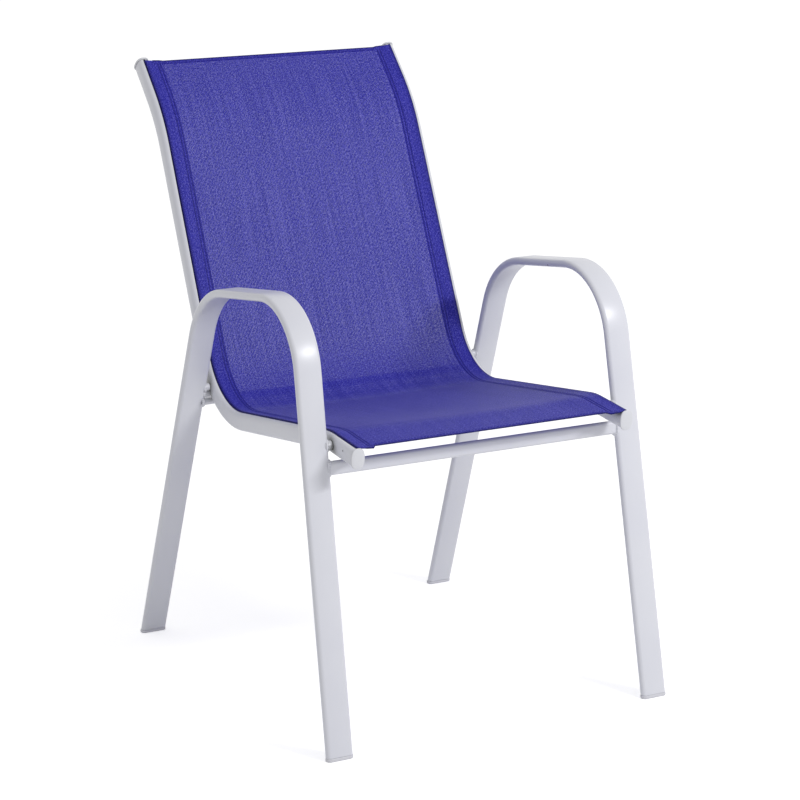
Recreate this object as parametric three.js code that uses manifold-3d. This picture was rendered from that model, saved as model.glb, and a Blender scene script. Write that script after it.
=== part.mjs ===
// A stacking patio armchair: two bent flat-oval steel loops make the front legs, arms and rear legs,
// two crossbars tie them, and two slotted oval rails carry a stretched sling of woven mesh.
// Millimetres, +Z up. The sitter faces -Y, so the sitter's left is +X. The origin is at the middle
// of the bounding box on the floor.
import * as THREE from 'three';
import { mergeVertices } from 'three/addons/utils/BufferGeometryUtils.js';
import Module from 'manifold-3d';

const wasm = await Module();
wasm.setup();

// Clearance between pieces that touch, and how far a cutter runs past what it cuts
const fit = 0.3;
const overrun = 30;

// Side loops: flat-oval tube, wide across the chair. Places are in the loop's own plane, where
// y counts from the middle between the feet and z from the floor
const legWidth = 40;
const legThickness = 12;
const legWall = 1.5;
const footSpread = 637;
const footHalfSpan = 255;
const legLeanShare = 0.016;
const armFront = { y: -204.6, z: 617 };
const armRear = { y: 95.2, z: 577.4 };
const armFrontBend = 104;
const armRearBend = 123;

// Foot glides
const glideHeight = 5;
const glideLip = 0.6;
const glideRound = 1.2;
const glidePlugLength = 22;

// Sling rails: slotted oval tube, deep across the sling, from the front of the seat to the top
const railWidth = 18;
const railDepth = 27;
const railWall = 1.5;
const slotWidth = 3.2;
const railLeanShare = 0.0058;
const railFront = { y: -300, z: 413.5 };
const railBrow = { y: -223, z: 421.4 };
const railCrook = { y: 144.6, z: 376 };
const railNeck = { y: 329.8, z: 794.2 };
const railTop = { y: 401.9, z: 870.6 };
const browBend = 108;
const crookBend = 121;
const neckBend = 252;

// Rail end caps
const capLip = 1.2;
const capThickness = 3.4;
const capRound = 1.1;
const capPlugLength = 15;

// Round spacers between the legs and the rails, and the bolts through the rails into them
const spacerLength = 6;
const spacerDiameter = 14;
const rearLugDiameter = 10;
const boltDiameter = 6;
const boltHeadDiameter = 11;
const boltHeadHeight = 3.6;
const boltSocketWidth = 4;
const boltSocketDepth = 2;

// Crossbars: flat-oval tube, on edge in front and laid flat behind, just clear of the rails
const barWidth = 20;
const barThickness = 10;
const barWall = 1.2;
const copeReach = 3;
const frontBarGap = 6;
const rearBarGap = 0.8;
const weldHeight = 2.6;
const weldReach = 3.2;
const weldRound = 0.9;

// Sling: one woven sheet, folded double round a rod along each side
const fabricThickness = 0.9;
const hemWidth = 27;
const slingRestGap = 0.4;
const slingFoldRound = 1.2;
const slingTopInset = 2;
const frontStep = 4;
const topStep = 1.5;
const stepInset = 2;
const shoulderDrop = 3;
const seatSag = 4.5;
const backSag = 1.5;
const rodDiameter = 4.6;
const rodPlay = 0.4;
const rodSlack = 1.1;

// Facets
const bendStep = THREE.MathUtils.degToRad(8.5);
const ovalFacets = 2;
const sagSteps = 6;
const sagColumns = 6;

// Routes in the plane of y and z, as stations with a place and a heading. Both are flat vectors,
// whose first value is the chair's y and whose second is its z

function roundedRoute(corners, bends) {
  const points = corners.map((corner) => new THREE.Vector2(corner.y, corner.z));
  const first = points[1].clone().sub(points[0]).normalize();
  const stations = [{ at: points[0], heading: first }];
  bends.forEach((radius, index) => {
    const corner = points[index + 1];
    const before = corner.clone().sub(points[index]).normalize();
    const after = points[index + 2].clone().sub(corner).normalize();
    const turn = Math.atan2(before.cross(after), before.dot(after));
    const reach = radius * Math.tan(Math.abs(turn) / 2);
    const side = Math.sign(turn);
    const start = corner.clone().addScaledVector(before, -reach);
    const centre = start.clone().add(new THREE.Vector2(-before.y, before.x).multiplyScalar(radius * side));
    const steps = Math.max(2, Math.ceil(Math.abs(turn) / bendStep));
    for (let step = 0; step <= steps; step += 1) {
      const angle = (turn * step) / steps;
      stations.push({
        at: start.clone().rotateAround(centre, angle),
        heading: before.clone().rotateAround(new THREE.Vector2(), angle),
      });
    }
  });
  const last = points[points.length - 1];
  stations.push({ at: last, heading: last.clone().sub(points[points.length - 2]).normalize() });
  return stations;
}

function extended(stations, atStart, atEnd) {
  const first = stations[0];
  const last = stations[stations.length - 1];
  return [
    { at: first.at.clone().addScaledVector(first.heading, -atStart), heading: first.heading },
    ...stations.slice(1, -1),
    { at: last.at.clone().addScaledVector(last.heading, atEnd), heading: last.heading },
  ];
}

function subdivided(stations, longest) {
  const result = [stations[0]];
  for (let index = 1; index < stations.length; index += 1) {
    const from = stations[index - 1];
    const to = stations[index];
    const count = Math.ceil(from.at.distanceTo(to.at) / longest);
    for (let part = 1; part <= count; part += 1) {
      const share = part / count;
      result.push({
        at: from.at.clone().lerp(to.at, share),
        heading: from.heading.clone().lerp(to.heading, share).normalize(),
      });
    }
  }
  return result;
}

function lengthsAlong(stations) {
  const lengths = [0];
  for (let index = 1; index < stations.length; index += 1) {
    lengths.push(lengths[index - 1] + stations[index].at.distanceTo(stations[index - 1].at));
  }
  return lengths;
}

function distanceToRoute(point, stations) {
  let nearest = Infinity;
  for (let index = 1; index < stations.length; index += 1) {
    const from = stations[index - 1].at;
    const along = stations[index].at.clone().sub(from);
    const share = THREE.MathUtils.clamp(point.clone().sub(from).dot(along) / along.lengthSq(), 0, 1);
    nearest = Math.min(nearest, point.distanceTo(from.clone().addScaledVector(along, share)));
  }
  return nearest;
}

function crossing(start, end, stations) {
  const line = end.clone().sub(start);
  for (let index = 1; index < stations.length; index += 1) {
    const from = stations[index - 1].at;
    const along = stations[index].at.clone().sub(from);
    const scale = line.cross(along);
    const onLine = from.clone().sub(start).cross(along) / scale;
    const onRoute = from.clone().sub(start).cross(line) / scale;
    if (onLine >= 0 && onLine <= 1 && onRoute >= 0 && onRoute <= 1) {
      return start.clone().addScaledVector(line, onLine);
    }
  }
  return null;
}

// The first place down a leg from where it crosses the rail that is far enough from the rail
function placeBelow(start, foot, clearance, stations) {
  const down = foot.clone().sub(start).normalize();
  let near = 0;
  let far = start.distanceTo(foot);
  for (let halving = 0; halving < 40; halving += 1) {
    const middle = (near + far) / 2;
    const clear = distanceToRoute(start.clone().addScaledVector(down, middle), stations) >= clearance;
    if (clear) {
      far = middle;
    } else {
      near = middle;
    }
  }
  return start.clone().addScaledVector(down, far);
}

// A route as a curve whose rings stand exactly at the stations. Along it a section's x lies
// across the chair, and its y points to the left of the heading: to the sitter on a rail
class StationCurve extends THREE.Curve {
  constructor(stations) {
    super();
    this.stations = stations;
  }

  getSpacedPoints() {
    return this.stations.map((station) => new THREE.Vector3(0, station.at.x, station.at.y));
  }

  computeFrenetFrames() {
    const tangents = this.stations.map((station) => headingOf(station));
    const normals = tangents.map(() => new THREE.Vector3(-1, 0, 0));
    const binormals = this.stations.map((station) => leftOf(station));
    return { tangents, normals, binormals };
  }
}

function headingOf(station) {
  return new THREE.Vector3(0, station.heading.x, station.heading.y);
}

function leftOf(station) {
  return new THREE.Vector3(0, -station.heading.y, station.heading.x);
}

function sweep(shape, stations, curveSegments) {
  return new THREE.ExtrudeGeometry(shape, {
    steps: stations.length - 1,
    curveSegments,
    extrudePath: new StationCurve(stations),
  });
}

// Sections

function flatOval(width, height) {
  const radius = Math.min(width, height) / 2;
  const alongX = width / 2 - radius;
  const alongY = height / 2 - radius;
  const shape = new THREE.Shape();
  shape.absarc(alongX, -alongY, radius, -Math.PI / 2, 0, false);
  shape.absarc(alongX, alongY, radius, 0, Math.PI / 2, false);
  shape.absarc(-alongX, alongY, radius, Math.PI / 2, Math.PI, false);
  shape.absarc(-alongX, -alongY, radius, Math.PI, 1.5 * Math.PI, false);
  return shape;
}

function flatOvalTube(width, height, wall) {
  const shape = flatOval(width, height);
  shape.holes.push(flatOval(width - 2 * wall, height - 2 * wall));
  return shape;
}

function disc(radius, boreRadius = 0) {
  const shape = new THREE.Shape();
  shape.absarc(0, 0, radius, 0, 2 * Math.PI, false);
  if (boreRadius > 0) {
    shape.holes.push(new THREE.Path().absarc(0, 0, boreRadius, 0, 2 * Math.PI, true));
  }
  return shape;
}

function oval(halfWidth, halfDepth) {
  const shape = new THREE.Shape();
  shape.absellipse(0, 0, halfWidth, halfDepth, 0, 2 * Math.PI, false, 0);
  return shape;
}

// An oval tube with a slot along the side that faces the sitter
function slottedOval() {
  const innerHalfWidth = railWidth / 2 - railWall;
  const outerLip = Math.acos(slotWidth / railWidth);
  const innerLip = Math.acos(slotWidth / 2 / innerHalfWidth);
  const shape = new THREE.Shape();
  shape.absellipse(0, 0, railWidth / 2, railDepth / 2, Math.PI - outerLip, 2 * Math.PI + outerLip, false, 0);
  shape.absellipse(
    0, 0, innerHalfWidth, railDepth / 2 - railWall, 2 * Math.PI + innerLip, Math.PI - innerLip, true, 0,
  );
  return shape;
}

// The lower part of the rail's bore, up to a level, for a cap's plug
function boreBelow(level) {
  const halfWidth = railWidth / 2 - railWall - 2 * fit;
  const halfDepth = railDepth / 2 - railWall - 2 * fit;
  const edge = Math.asin(level / halfDepth);
  const shape = new THREE.Shape();
  shape.absellipse(0, 0, halfWidth, halfDepth, Math.PI - edge, 2 * Math.PI + edge, false, 0);
  return shape;
}

// Solids for joining and cutting

function solidOf(geometry) {
  const bare = geometry.clone();
  bare.deleteAttribute('normal');
  bare.deleteAttribute('uv');
  const merged = mergeVertices(bare);
  return new wasm.Manifold(new wasm.Mesh({
    numProp: 3,
    vertProperties: new Float32Array(merged.attributes.position.array),
    triVerts: new Uint32Array(merged.index.array),
  }));
}

function geometryOf(solid) {
  const mesh = solid.getMesh();
  const geometry = new THREE.BufferGeometry();
  geometry.setAttribute('position', new THREE.BufferAttribute(mesh.vertProperties, 3));
  geometry.setIndex(new THREE.BufferAttribute(mesh.triVerts, 1));
  const faceted = geometry.toNonIndexed();
  faceted.computeVertexNormals();
  return faceted;
}

function slab(width, bottom, top) {
  const box = new THREE.BoxGeometry(width, width, top - bottom);
  return box.translate(0, 0, (bottom + top) / 2);
}

// Leans a geometry that was built about x = 0: it ends at x on the floor, and comes in as it rises
function leaned(geometry, x, share) {
  const inward = -Math.sign(x) * share;
  const matrix = new THREE.Matrix4().set(1, 0, inward, x, 0, 1, 0, 0, 0, 0, 1, 0, 0, 0, 0, 1);
  return geometry.applyMatrix4(matrix);
}

// Stands a geometry that was extruded along its z at the end of a rail, facing out
function atRailEnd(geometry, station, outward) {
  const basis = new THREE.Matrix4().makeBasis(
    new THREE.Vector3(-outward, 0, 0), leftOf(station), headingOf(station).multiplyScalar(outward),
  );
  return geometry.applyMatrix4(basis).translate(0, station.at.x, station.at.y);
}

// Routes and places that several pieces share

const frontFoot = { y: -footSpread / 2, z: 0 };
const rearFoot = { y: footSpread / 2, z: 0 };
const loopRoute = roundedRoute([frontFoot, armFront, armRear, rearFoot], [armFrontBend, armRearBend]);
const railRoute = roundedRoute(
  [railFront, railBrow, railCrook, railNeck, railTop], [browBend, crookBend, neckBend],
);
const railStart = railRoute[0];
const railEnd = railRoute[railRoute.length - 1];
const frontFootPoint = loopRoute[0].at;
const rearFootPoint = loopRoute[loopRoute.length - 1].at;
const frontJoint = crossing(frontFootPoint, loopRoute[1].at, railRoute);
const rearJoint = crossing(rearFootPoint, loopRoute[loopRoute.length - 2].at, railRoute);
const frontBarPlace = placeBelow(
  frontJoint, frontFootPoint, railDepth / 2 + frontBarGap + barWidth / 2, railRoute,
);
const rearBarPlace = placeBelow(
  rearJoint, rearFootPoint, railDepth / 2 + rearBarGap + barWidth / 2, railRoute,
);

function legInnerFace(z) {
  return footHalfSpan - legLeanShare * z - legWidth / 2;
}

const railFloorX = legInnerFace(frontJoint.y) - spacerLength - railWidth / 2 + railLeanShare * frontJoint.y;

function railCentre(z) {
  return railFloorX - railLeanShare * z;
}

// The loop's body grown by a clearance, for cutting what meets it
function loopCutter(side, clearance) {
  const grown = flatOval(legWidth + 2 * clearance, legThickness + 2 * clearance);
  const geometry = sweep(grown, extended(loopRoute, overrun, overrun), ovalFacets);
  return solidOf(leaned(geometry, side * footHalfSpan, legLeanShare));
}

// Materials

const paint = new THREE.MeshStandardMaterial({ color: 0xe4e6ec, roughness: 0.32, metalness: 0.1 });
const capPlastic = new THREE.MeshStandardMaterial({ color: 0xdadce2, roughness: 0.5, metalness: 0 });
const glidePlastic = new THREE.MeshStandardMaterial({ color: 0xd6d6dc, roughness: 0.55, metalness: 0 });
const zincSteel = new THREE.MeshStandardMaterial({ color: 0xb9bcc0, roughness: 0.35, metalness: 1 });
const mesh = new THREE.MeshStandardMaterial({ color: 0x4a46a4, roughness: 0.7, metalness: 0 });
const rodPlastic = new THREE.MeshStandardMaterial({ color: 0x8a8a90, roughness: 0.6, metalness: 0 });

const chair = new THREE.Group();

function addPiece(name, geometry, material) {
  const piece = new THREE.Mesh(geometry, material);
  piece.name = name;
  chair.add(piece);
}

// Side loops, cut level just above the floor for the glides

function sideLoop(side) {
  const section = flatOvalTube(legWidth, legThickness, legWall);
  const tube = sweep(section, extended(loopRoute, overrun, overrun), ovalFacets);
  const body = solidOf(leaned(tube, side * footHalfSpan, legLeanShare));
  const ground = solidOf(slab(2 * footSpread, -2 * overrun, glideHeight + fit));
  return geometryOf(body.subtract(ground));
}

// A glide: a level foot pad with a plug that follows the leg's bore

function footGlide(side, foot, heading) {
  const upright = Math.abs(heading.y);
  const pad = new THREE.ExtrudeGeometry(
    flatOval(legWidth + 2 * glideLip, legThickness / upright + 2 * glideLip),
    {
      depth: glideHeight - 2 * glideRound,
      curveSegments: ovalFacets,
      bevelThickness: glideRound,
      bevelSize: glideRound,
      bevelOffset: -glideRound,
      bevelSegments: 2,
    },
  );
  const padX = side * (footHalfSpan - (legLeanShare * glideHeight) / 2);
  const padY = foot.x + ((heading.x / heading.y) * glideHeight) / 2;
  pad.translate(padX, padY, glideRound);
  const borePlay = 2 * (legWall + fit);
  const core = sweep(
    flatOval(legWidth - borePlay, legThickness - borePlay),
    [
      { at: foot.clone().addScaledVector(heading, -overrun), heading },
      { at: foot.clone().addScaledVector(heading, glidePlugLength + overrun), heading },
    ],
    ovalFacets,
  );
  const plug = solidOf(leaned(core, side * footHalfSpan, legLeanShare))
    .intersect(solidOf(slab(2 * footSpread, glideHeight / 2, glideHeight + glidePlugLength)));
  return geometryOf(solidOf(pad).add(plug));
}

// Crossbars between the loops, with their ends coped round the legs

function crossbar(place, width, height, cutters) {
  const tube = new THREE.ExtrudeGeometry(flatOvalTube(height, width, barWall), {
    depth: 2 * (legInnerFace(place.y) + copeReach),
    curveSegments: ovalFacets,
    bevelEnabled: false,
  });
  tube.rotateY(Math.PI / 2).translate(-legInnerFace(place.y) - copeReach, place.x, place.y);
  return geometryOf(solidOf(tube).subtract(cutters[0]).subtract(cutters[1]));
}

// The bead of weld round a bar's end, rounded on its outer side and coped round the leg

function weldBead(place, width, height, side, cutter) {
  const inner = legInnerFace(place.y);
  const length = legWidth / 2 + weldReach;
  const collar = new THREE.ExtrudeGeometry(flatOval(height + 2 * weldHeight, width + 2 * weldHeight), {
    depth: length - 2 * weldRound,
    curveSegments: ovalFacets,
    bevelThickness: weldRound,
    bevelSize: weldRound,
    bevelOffset: -weldRound,
    bevelSegments: 1,
  });
  collar.translate(0, 0, weldRound).rotateY((side * Math.PI) / 2);
  collar.translate(side * (inner - weldReach), place.x, place.y);
  const opening = new THREE.ExtrudeGeometry(flatOval(height + 2 * fit, width + 2 * fit), {
    depth: 2 * footHalfSpan,
    curveSegments: ovalFacets,
    bevelEnabled: false,
  });
  opening.rotateY(Math.PI / 2).translate(-footHalfSpan, place.x, place.y);
  const beyond = new THREE.BoxGeometry(legWidth, 2 * overrun, 2 * overrun);
  beyond.translate(side * (inner + copeReach + weldRound + legWidth / 2), place.x, place.y);
  return geometryOf(solidOf(collar).subtract(solidOf(opening)).subtract(cutter).subtract(solidOf(beyond)));
}

// A round bar across the chair from one x to another, with an optional bore

function acrossChair(radius, boreRadius, fromX, toX, place) {
  const geometry = new THREE.ExtrudeGeometry(disc(radius, boreRadius), {
    depth: Math.abs(toX - fromX),
    curveSegments: 8,
    bevelEnabled: false,
  });
  return geometry.rotateY(Math.PI / 2).translate(Math.min(fromX, toX), place.x, place.y);
}

// Sling rails, drilled for their bolts

function slingRail(side) {
  let body = solidOf(leaned(sweep(slottedOval(), railRoute, 7), side * railFloorX, railLeanShare));
  const drill = boltDiameter / 2 + fit;
  [frontJoint, rearJoint].forEach((joint) => {
    const x = side * railCentre(joint.y);
    body = body.subtract(solidOf(acrossChair(drill, 0, x - railWidth, x + railWidth, joint)));
  });
  return geometryOf(body);
}

function railCap(side, station, outward) {
  const flange = new THREE.ExtrudeGeometry(oval(railWidth / 2 + capLip, railDepth / 2 + capLip), {
    depth: capThickness - 2 * capRound,
    curveSegments: 8,
    bevelThickness: capRound,
    bevelSize: capRound,
    bevelOffset: -capRound,
    bevelSegments: 2,
  });
  flange.translate(0, 0, capRound + fit);
  const plugTop = rodLevel - pocketRadius - fit;
  const plug = new THREE.ExtrudeGeometry(boreBelow(plugTop), {
    depth: capPlugLength + fit + capThickness / 2,
    curveSegments: 6,
    bevelEnabled: false,
  });
  plug.translate(0, 0, -capPlugLength);
  const body = geometryOf(solidOf(flange).add(solidOf(plug)));
  return leaned(atRailEnd(body, station, outward), side * railFloorX, railLeanShare);
}

// The sling's pocket wraps a rod inside the rail, below the slot

const pocketRadius = rodDiameter / 2 + rodPlay + fabricThickness;
const rodLevel = railDepth / 2 - railWall - pocketRadius - rodSlack;

function slingRod(side) {
  const shape = new THREE.Shape();
  shape.absarc(0, rodLevel, rodDiameter / 2, 0, 2 * Math.PI, false);
  return leaned(sweep(shape, railRoute, 4), side * railFloorX, railLeanShare);
}

// The sling's section at the reference width: a single sheet, doubled at the side hems, with a neck
// through each slot down to the pocket round the rod

function slingSection(halfSpan) {
  const top = railDepth / 2 + slingRestGap + 2 * fabricThickness;
  const hemUnderside = railDepth / 2 + slingRestGap;
  const sheetUnderside = top - fabricThickness;
  const neckFoot = rodLevel + Math.sqrt(pocketRadius ** 2 - fabricThickness ** 2);
  const neckAngle = Math.acos(fabricThickness / pocketRadius);
  const freeHalf = halfSpan - hemWidth;
  const foldX = halfSpan + fabricThickness - slingFoldRound;
  const foldY = top - slingFoldRound;
  const foldAngles = [Math.PI / 2, Math.PI / 4, 0];
  const shape = new THREE.Shape();
  shape.moveTo(-freeHalf, top);
  for (let column = 1; column <= sagColumns; column += 1) {
    shape.lineTo(freeHalf * ((2 * column) / sagColumns - 1), top);
  }
  foldAngles.forEach((angle) => {
    shape.lineTo(foldX + slingFoldRound * Math.cos(angle), foldY + slingFoldRound * Math.sin(angle));
  });
  shape.lineTo(halfSpan + fabricThickness, neckFoot);
  shape.absarc(halfSpan, rodLevel, pocketRadius, neckAngle, -Math.PI - neckAngle, true);
  shape.lineTo(halfSpan - fabricThickness, hemUnderside);
  shape.lineTo(freeHalf, hemUnderside);
  for (let column = sagColumns; column >= 0; column -= 1) {
    shape.lineTo(freeHalf * ((2 * column) / sagColumns - 1), sheetUnderside);
  }
  shape.lineTo(-freeHalf, hemUnderside);
  shape.lineTo(-halfSpan + fabricThickness, hemUnderside);
  shape.absarc(-halfSpan, rodLevel, pocketRadius, neckAngle, -Math.PI - neckAngle, true);
  foldAngles.toReversed().forEach((angle) => {
    shape.lineTo(-foldX - slingFoldRound * Math.cos(angle), foldY + slingFoldRound * Math.sin(angle));
  });
  [-halfSpan, halfSpan].forEach((x) => {
    shape.holes.push(new THREE.Path().absarc(x, rodLevel, rodDiameter / 2 + rodPlay, 0, 2 * Math.PI, false));
  });
  return shape;
}

// How far the sheet lies below its rails: it drops from the slot to the hem's inner edge, and from
// there the free sheet sags, most in the middle of the seat and of the back
function dropOfSheet(across, along, seatLength, wholeLength) {
  const onSeat = along < seatLength;
  const share = onSeat ? along / seatLength : (along - seatLength) / (wholeLength - seatLength);
  const sag = (onSeat ? seatSag : backSag) * Math.sin(Math.PI * share);
  return shoulderDrop + sag * (1 - across ** 2);
}

function slingSheet() {
  const halfSpan = railCentre(railStart.at.y);
  const freeHalf = halfSpan - hemWidth;
  const route = extended(railRoute, 0, -slingTopInset);
  const seatLength = lengthsAlong(route)[route.findIndex((station) => station.at.x >= rearJoint.x)];
  const stations = subdivided(route, seatLength / sagSteps);
  const along = lengthsAlong(stations);
  const wholeLength = along[along.length - 1];
  const geometry = sweep(slingSection(halfSpan), stations, 4);
  const places = geometry.attributes.position;
  const place = new THREE.Vector3();
  for (let index = 0; index < places.count; index += 1) {
    place.fromBufferAttribute(places, index);
    const ring = stations.findIndex((station) => {
      const offset = new THREE.Vector2(place.y, place.z).sub(station.at);
      return Math.abs(offset.dot(station.heading)) < ringTolerance && offset.length() < railDepth;
    });
    const across = Math.abs(place.x) / freeHalf;
    if (across < 1 + ringTolerance) {
      const drop = dropOfSheet(across, along[ring], seatLength, wholeLength);
      place.addScaledVector(leftOf(stations[ring]), -drop);
    }
    place.x *= railCentre(stations[ring].at.y) / halfSpan;
    places.setXYZ(index, place.x, place.y, place.z);
  }
  let body = solidOf(geometry);
  const ends = [
    { station: stations[0], inward: 1, cut: frontStep },
    { station: stations[stations.length - 1], inward: -1, cut: topStep },
  ];
  ends.forEach(({ station, inward, cut }) => {
    const width = 2 * (railCentre(station.at.y) - hemWidth - stepInset);
    const step = new THREE.BoxGeometry(width, railDepth, 2 * cut);
    step.translate(0, railDepth / 2, 0);
    body = body.subtract(solidOf(atRailEnd(step, station, inward)));
  });
  return geometryOf(body);
}

// How closely a point must lie to a station's plane to belong to its ring
const ringTolerance = fabricThickness / 100;

// Spacers: round tubes between leg and rail. The rear ones carry a lug of weld below

function spacer(side, joint, cutter, withLug) {
  const railFace = side * (railCentre(joint.y) + railWidth / 2 + fit);
  const legMiddle = side * (legInnerFace(joint.y) + legThickness / 2);
  const bore = boltDiameter / 2 + fit;
  let body = solidOf(acrossChair(spacerDiameter / 2, 0, railFace, legMiddle, joint));
  if (withLug) {
    const down = rearFootPoint.clone().sub(joint).normalize();
    const lugPlace = joint.clone().addScaledVector(down, spacerDiameter / 2 + rearLugDiameter / 4);
    body = body.add(solidOf(acrossChair(rearLugDiameter / 2, 0, railFace, legMiddle, lugPlace)));
  }
  const hole = solidOf(acrossChair(bore, 0, railFace - side * overrun, legMiddle + side * overrun, joint));
  return geometryOf(body.subtract(hole).subtract(cutter));
}

// Bolts: a domed head with a hexagon socket on the rail's inner side, and a shank into the spacer

function bolt(side, joint) {
  const railX = railCentre(joint.y);
  const shankEnd = legInnerFace(joint.y) - 2 * fit;
  const headX = railX - railWidth / 2 - fit;
  const shankLength = shankEnd - headX;
  const domeRadius = (boltHeadDiameter ** 2 / 4 + boltHeadHeight ** 2) / (2 * boltHeadHeight);
  const domeHalfAngle = Math.asin(boltHeadDiameter / 2 / domeRadius);
  const profile = [new THREE.Vector2(0, shankLength), new THREE.Vector2(boltDiameter / 2, shankLength)];
  profile.push(new THREE.Vector2(boltDiameter / 2, 0), new THREE.Vector2(boltHeadDiameter / 2, 0));
  const domeSteps = 4;
  for (let step = 1; step <= domeSteps; step += 1) {
    const angle = domeHalfAngle * (1 - step / domeSteps);
    const level = domeRadius - boltHeadHeight - domeRadius * Math.cos(angle);
    profile.push(new THREE.Vector2(domeRadius * Math.sin(angle), level));
  }
  const turned = new THREE.LatheGeometry(profile.reverse(), 16);
  const socketRadius = boltSocketWidth / Math.sqrt(3);
  const socket = new THREE.CylinderGeometry(socketRadius, socketRadius, 2 * boltSocketDepth, 6);
  socket.translate(0, -boltHeadHeight, 0);
  const body = geometryOf(solidOf(turned).subtract(solidOf(socket)));
  return body.rotateZ((-side * Math.PI) / 2).translate(side * headX, joint.x, joint.y);
}

// Assembly

const sides = { right: -1, left: 1 };
const cutters = Object.fromEntries(
  Object.entries(sides).map(([name, side]) => [name, loopCutter(side, fit)]),
);
const bars = {
  front: { place: frontBarPlace, width: barThickness, height: barWidth },
  rear: { place: rearBarPlace, width: barWidth, height: barThickness },
};
const rearHeading = loopRoute[loopRoute.length - 1].heading.clone().negate();
const feet = {
  front: { at: frontFootPoint, heading: loopRoute[0].heading },
  rear: { at: rearFootPoint, heading: rearHeading },
};

Object.entries(sides).forEach(([name, side]) => {
  addPiece(`side_frame_${name}`, sideLoop(side), paint);
  addPiece(`sling_rail_${name}`, slingRail(side), paint);
  addPiece(`keder_rod_${name}`, slingRod(side), rodPlastic);
  addPiece(`rail_top_cap_${name}`, railCap(side, railEnd, 1), capPlastic);
  addPiece(`rail_front_cap_${name}`, railCap(side, railStart, -1), capPlastic);
  Object.entries(feet).forEach(([end, foot]) => {
    addPiece(`foot_glide_${end}_${name}`, footGlide(side, foot.at, foot.heading), glidePlastic);
  });
  Object.entries(bars).forEach(([end, bar]) => {
    const bead = weldBead(bar.place, bar.width, bar.height, side, cutters[name]);
    addPiece(`weld_bead_${end}_${name}`, bead, paint);
  });
  addPiece(`rail_spacer_front_${name}`, spacer(side, frontJoint, cutters[name], false), paint);
  addPiece(`rail_spacer_rear_${name}`, spacer(side, rearJoint, cutters[name], true), paint);
  addPiece(`rail_bolt_front_${name}`, bolt(side, frontJoint), zincSteel);
  addPiece(`rail_bolt_rear_${name}`, bolt(side, rearJoint), zincSteel);
});
Object.entries(bars).forEach(([end, bar]) => {
  const body = crossbar(bar.place, bar.width, bar.height, [cutters.left, cutters.right]);
  addPiece(`crossbar_${end}`, body, paint);
});
addPiece('sling_fabric', slingSheet(), mesh);

// Stand the chair with the origin at the middle of its box on the floor
const bounds = new THREE.Box3().setFromObject(chair);
const middle = bounds.getCenter(new THREE.Vector3());
chair.children.forEach((piece) => piece.position.set(-middle.x, -middle.y, -bounds.min.z));

export default chair;
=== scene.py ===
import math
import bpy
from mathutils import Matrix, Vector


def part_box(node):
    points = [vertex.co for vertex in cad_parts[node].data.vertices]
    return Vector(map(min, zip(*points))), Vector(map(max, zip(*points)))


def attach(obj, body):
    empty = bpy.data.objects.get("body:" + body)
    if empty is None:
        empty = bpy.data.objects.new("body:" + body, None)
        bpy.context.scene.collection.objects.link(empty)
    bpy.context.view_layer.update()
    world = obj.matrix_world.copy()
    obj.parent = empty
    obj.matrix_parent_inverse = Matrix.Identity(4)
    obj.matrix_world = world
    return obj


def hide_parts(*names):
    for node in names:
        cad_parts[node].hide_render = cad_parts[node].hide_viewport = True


bl_info = {
    "name": "Sling Patio Chair",
    "version": (1, 0, 0),
    "blender": (4, 5, 0),
    "location": "View3D > Sidebar > Patio Chair",
    "description": "Models a stacking patio armchair: bent tubes, welds, caps and a woven mesh sling",
    "category": "Add Mesh",
}

import bmesh
import bpy
from bpy.props import FloatProperty, FloatVectorProperty, IntProperty, PointerProperty
from bpy.types import Operator, Panel, PropertyGroup
from mathutils import Matrix, Vector

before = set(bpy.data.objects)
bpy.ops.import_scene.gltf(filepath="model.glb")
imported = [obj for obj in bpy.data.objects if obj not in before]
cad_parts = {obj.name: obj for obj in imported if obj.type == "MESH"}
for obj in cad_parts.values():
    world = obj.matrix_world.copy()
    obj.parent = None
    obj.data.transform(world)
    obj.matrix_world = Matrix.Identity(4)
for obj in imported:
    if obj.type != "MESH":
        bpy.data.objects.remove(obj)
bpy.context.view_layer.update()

MM = 0.001
TOUCHING = 0.01 * MM
SAME_PLACE = 0.002 * MM
SIDES = {"left": 1, "right": -1}
ENDS = ("front", "rear")

# Angles in degrees up to which edges are shaded smooth, on hard and on soft shapes
CREASE = 32
SOFT_CREASE = 60


# Kinds of settings

def number(name, description, default, unit="NONE"):
    """A plain number, or one in a unit of Blender's own."""
    return FloatProperty(
        name=name, description=description, default=default, unit=unit, precision=4
    )


def length(name, description, millimetres):
    """A size that is given in millimetres and kept in Blender's metres."""
    return number(name, description, millimetres * MM, "LENGTH")


def angle(name, description, degrees):
    """An angle that is given in degrees and kept in Blender's radians."""
    return number(name, description, math.radians(degrees), "ROTATION")


def count(name, description, default):
    """A whole number, such as of facets."""
    return IntProperty(name=name, description=description, default=default, min=1)


def rgba(code):
    """An sRGB hex code as linear red, green and blue, with full alpha."""
    channels = [int(code[place : place + 2], 16) / 255 for place in (1, 3, 5)]
    linear = [
        value / 12.92 if value <= 0.04045 else ((value + 0.055) / 1.055) ** 2.4
        for value in channels
    ]
    return (*linear, 1.0)


def paint(name, description, code):
    """A colour that is given as an sRGB hex code and kept linear."""
    return FloatVectorProperty(
        name=name,
        description=description,
        default=rgba(code),
        subtype="COLOR",
        size=4,
        min=0.0,
        max=1.0,
    )


# Sizes and colours

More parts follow.
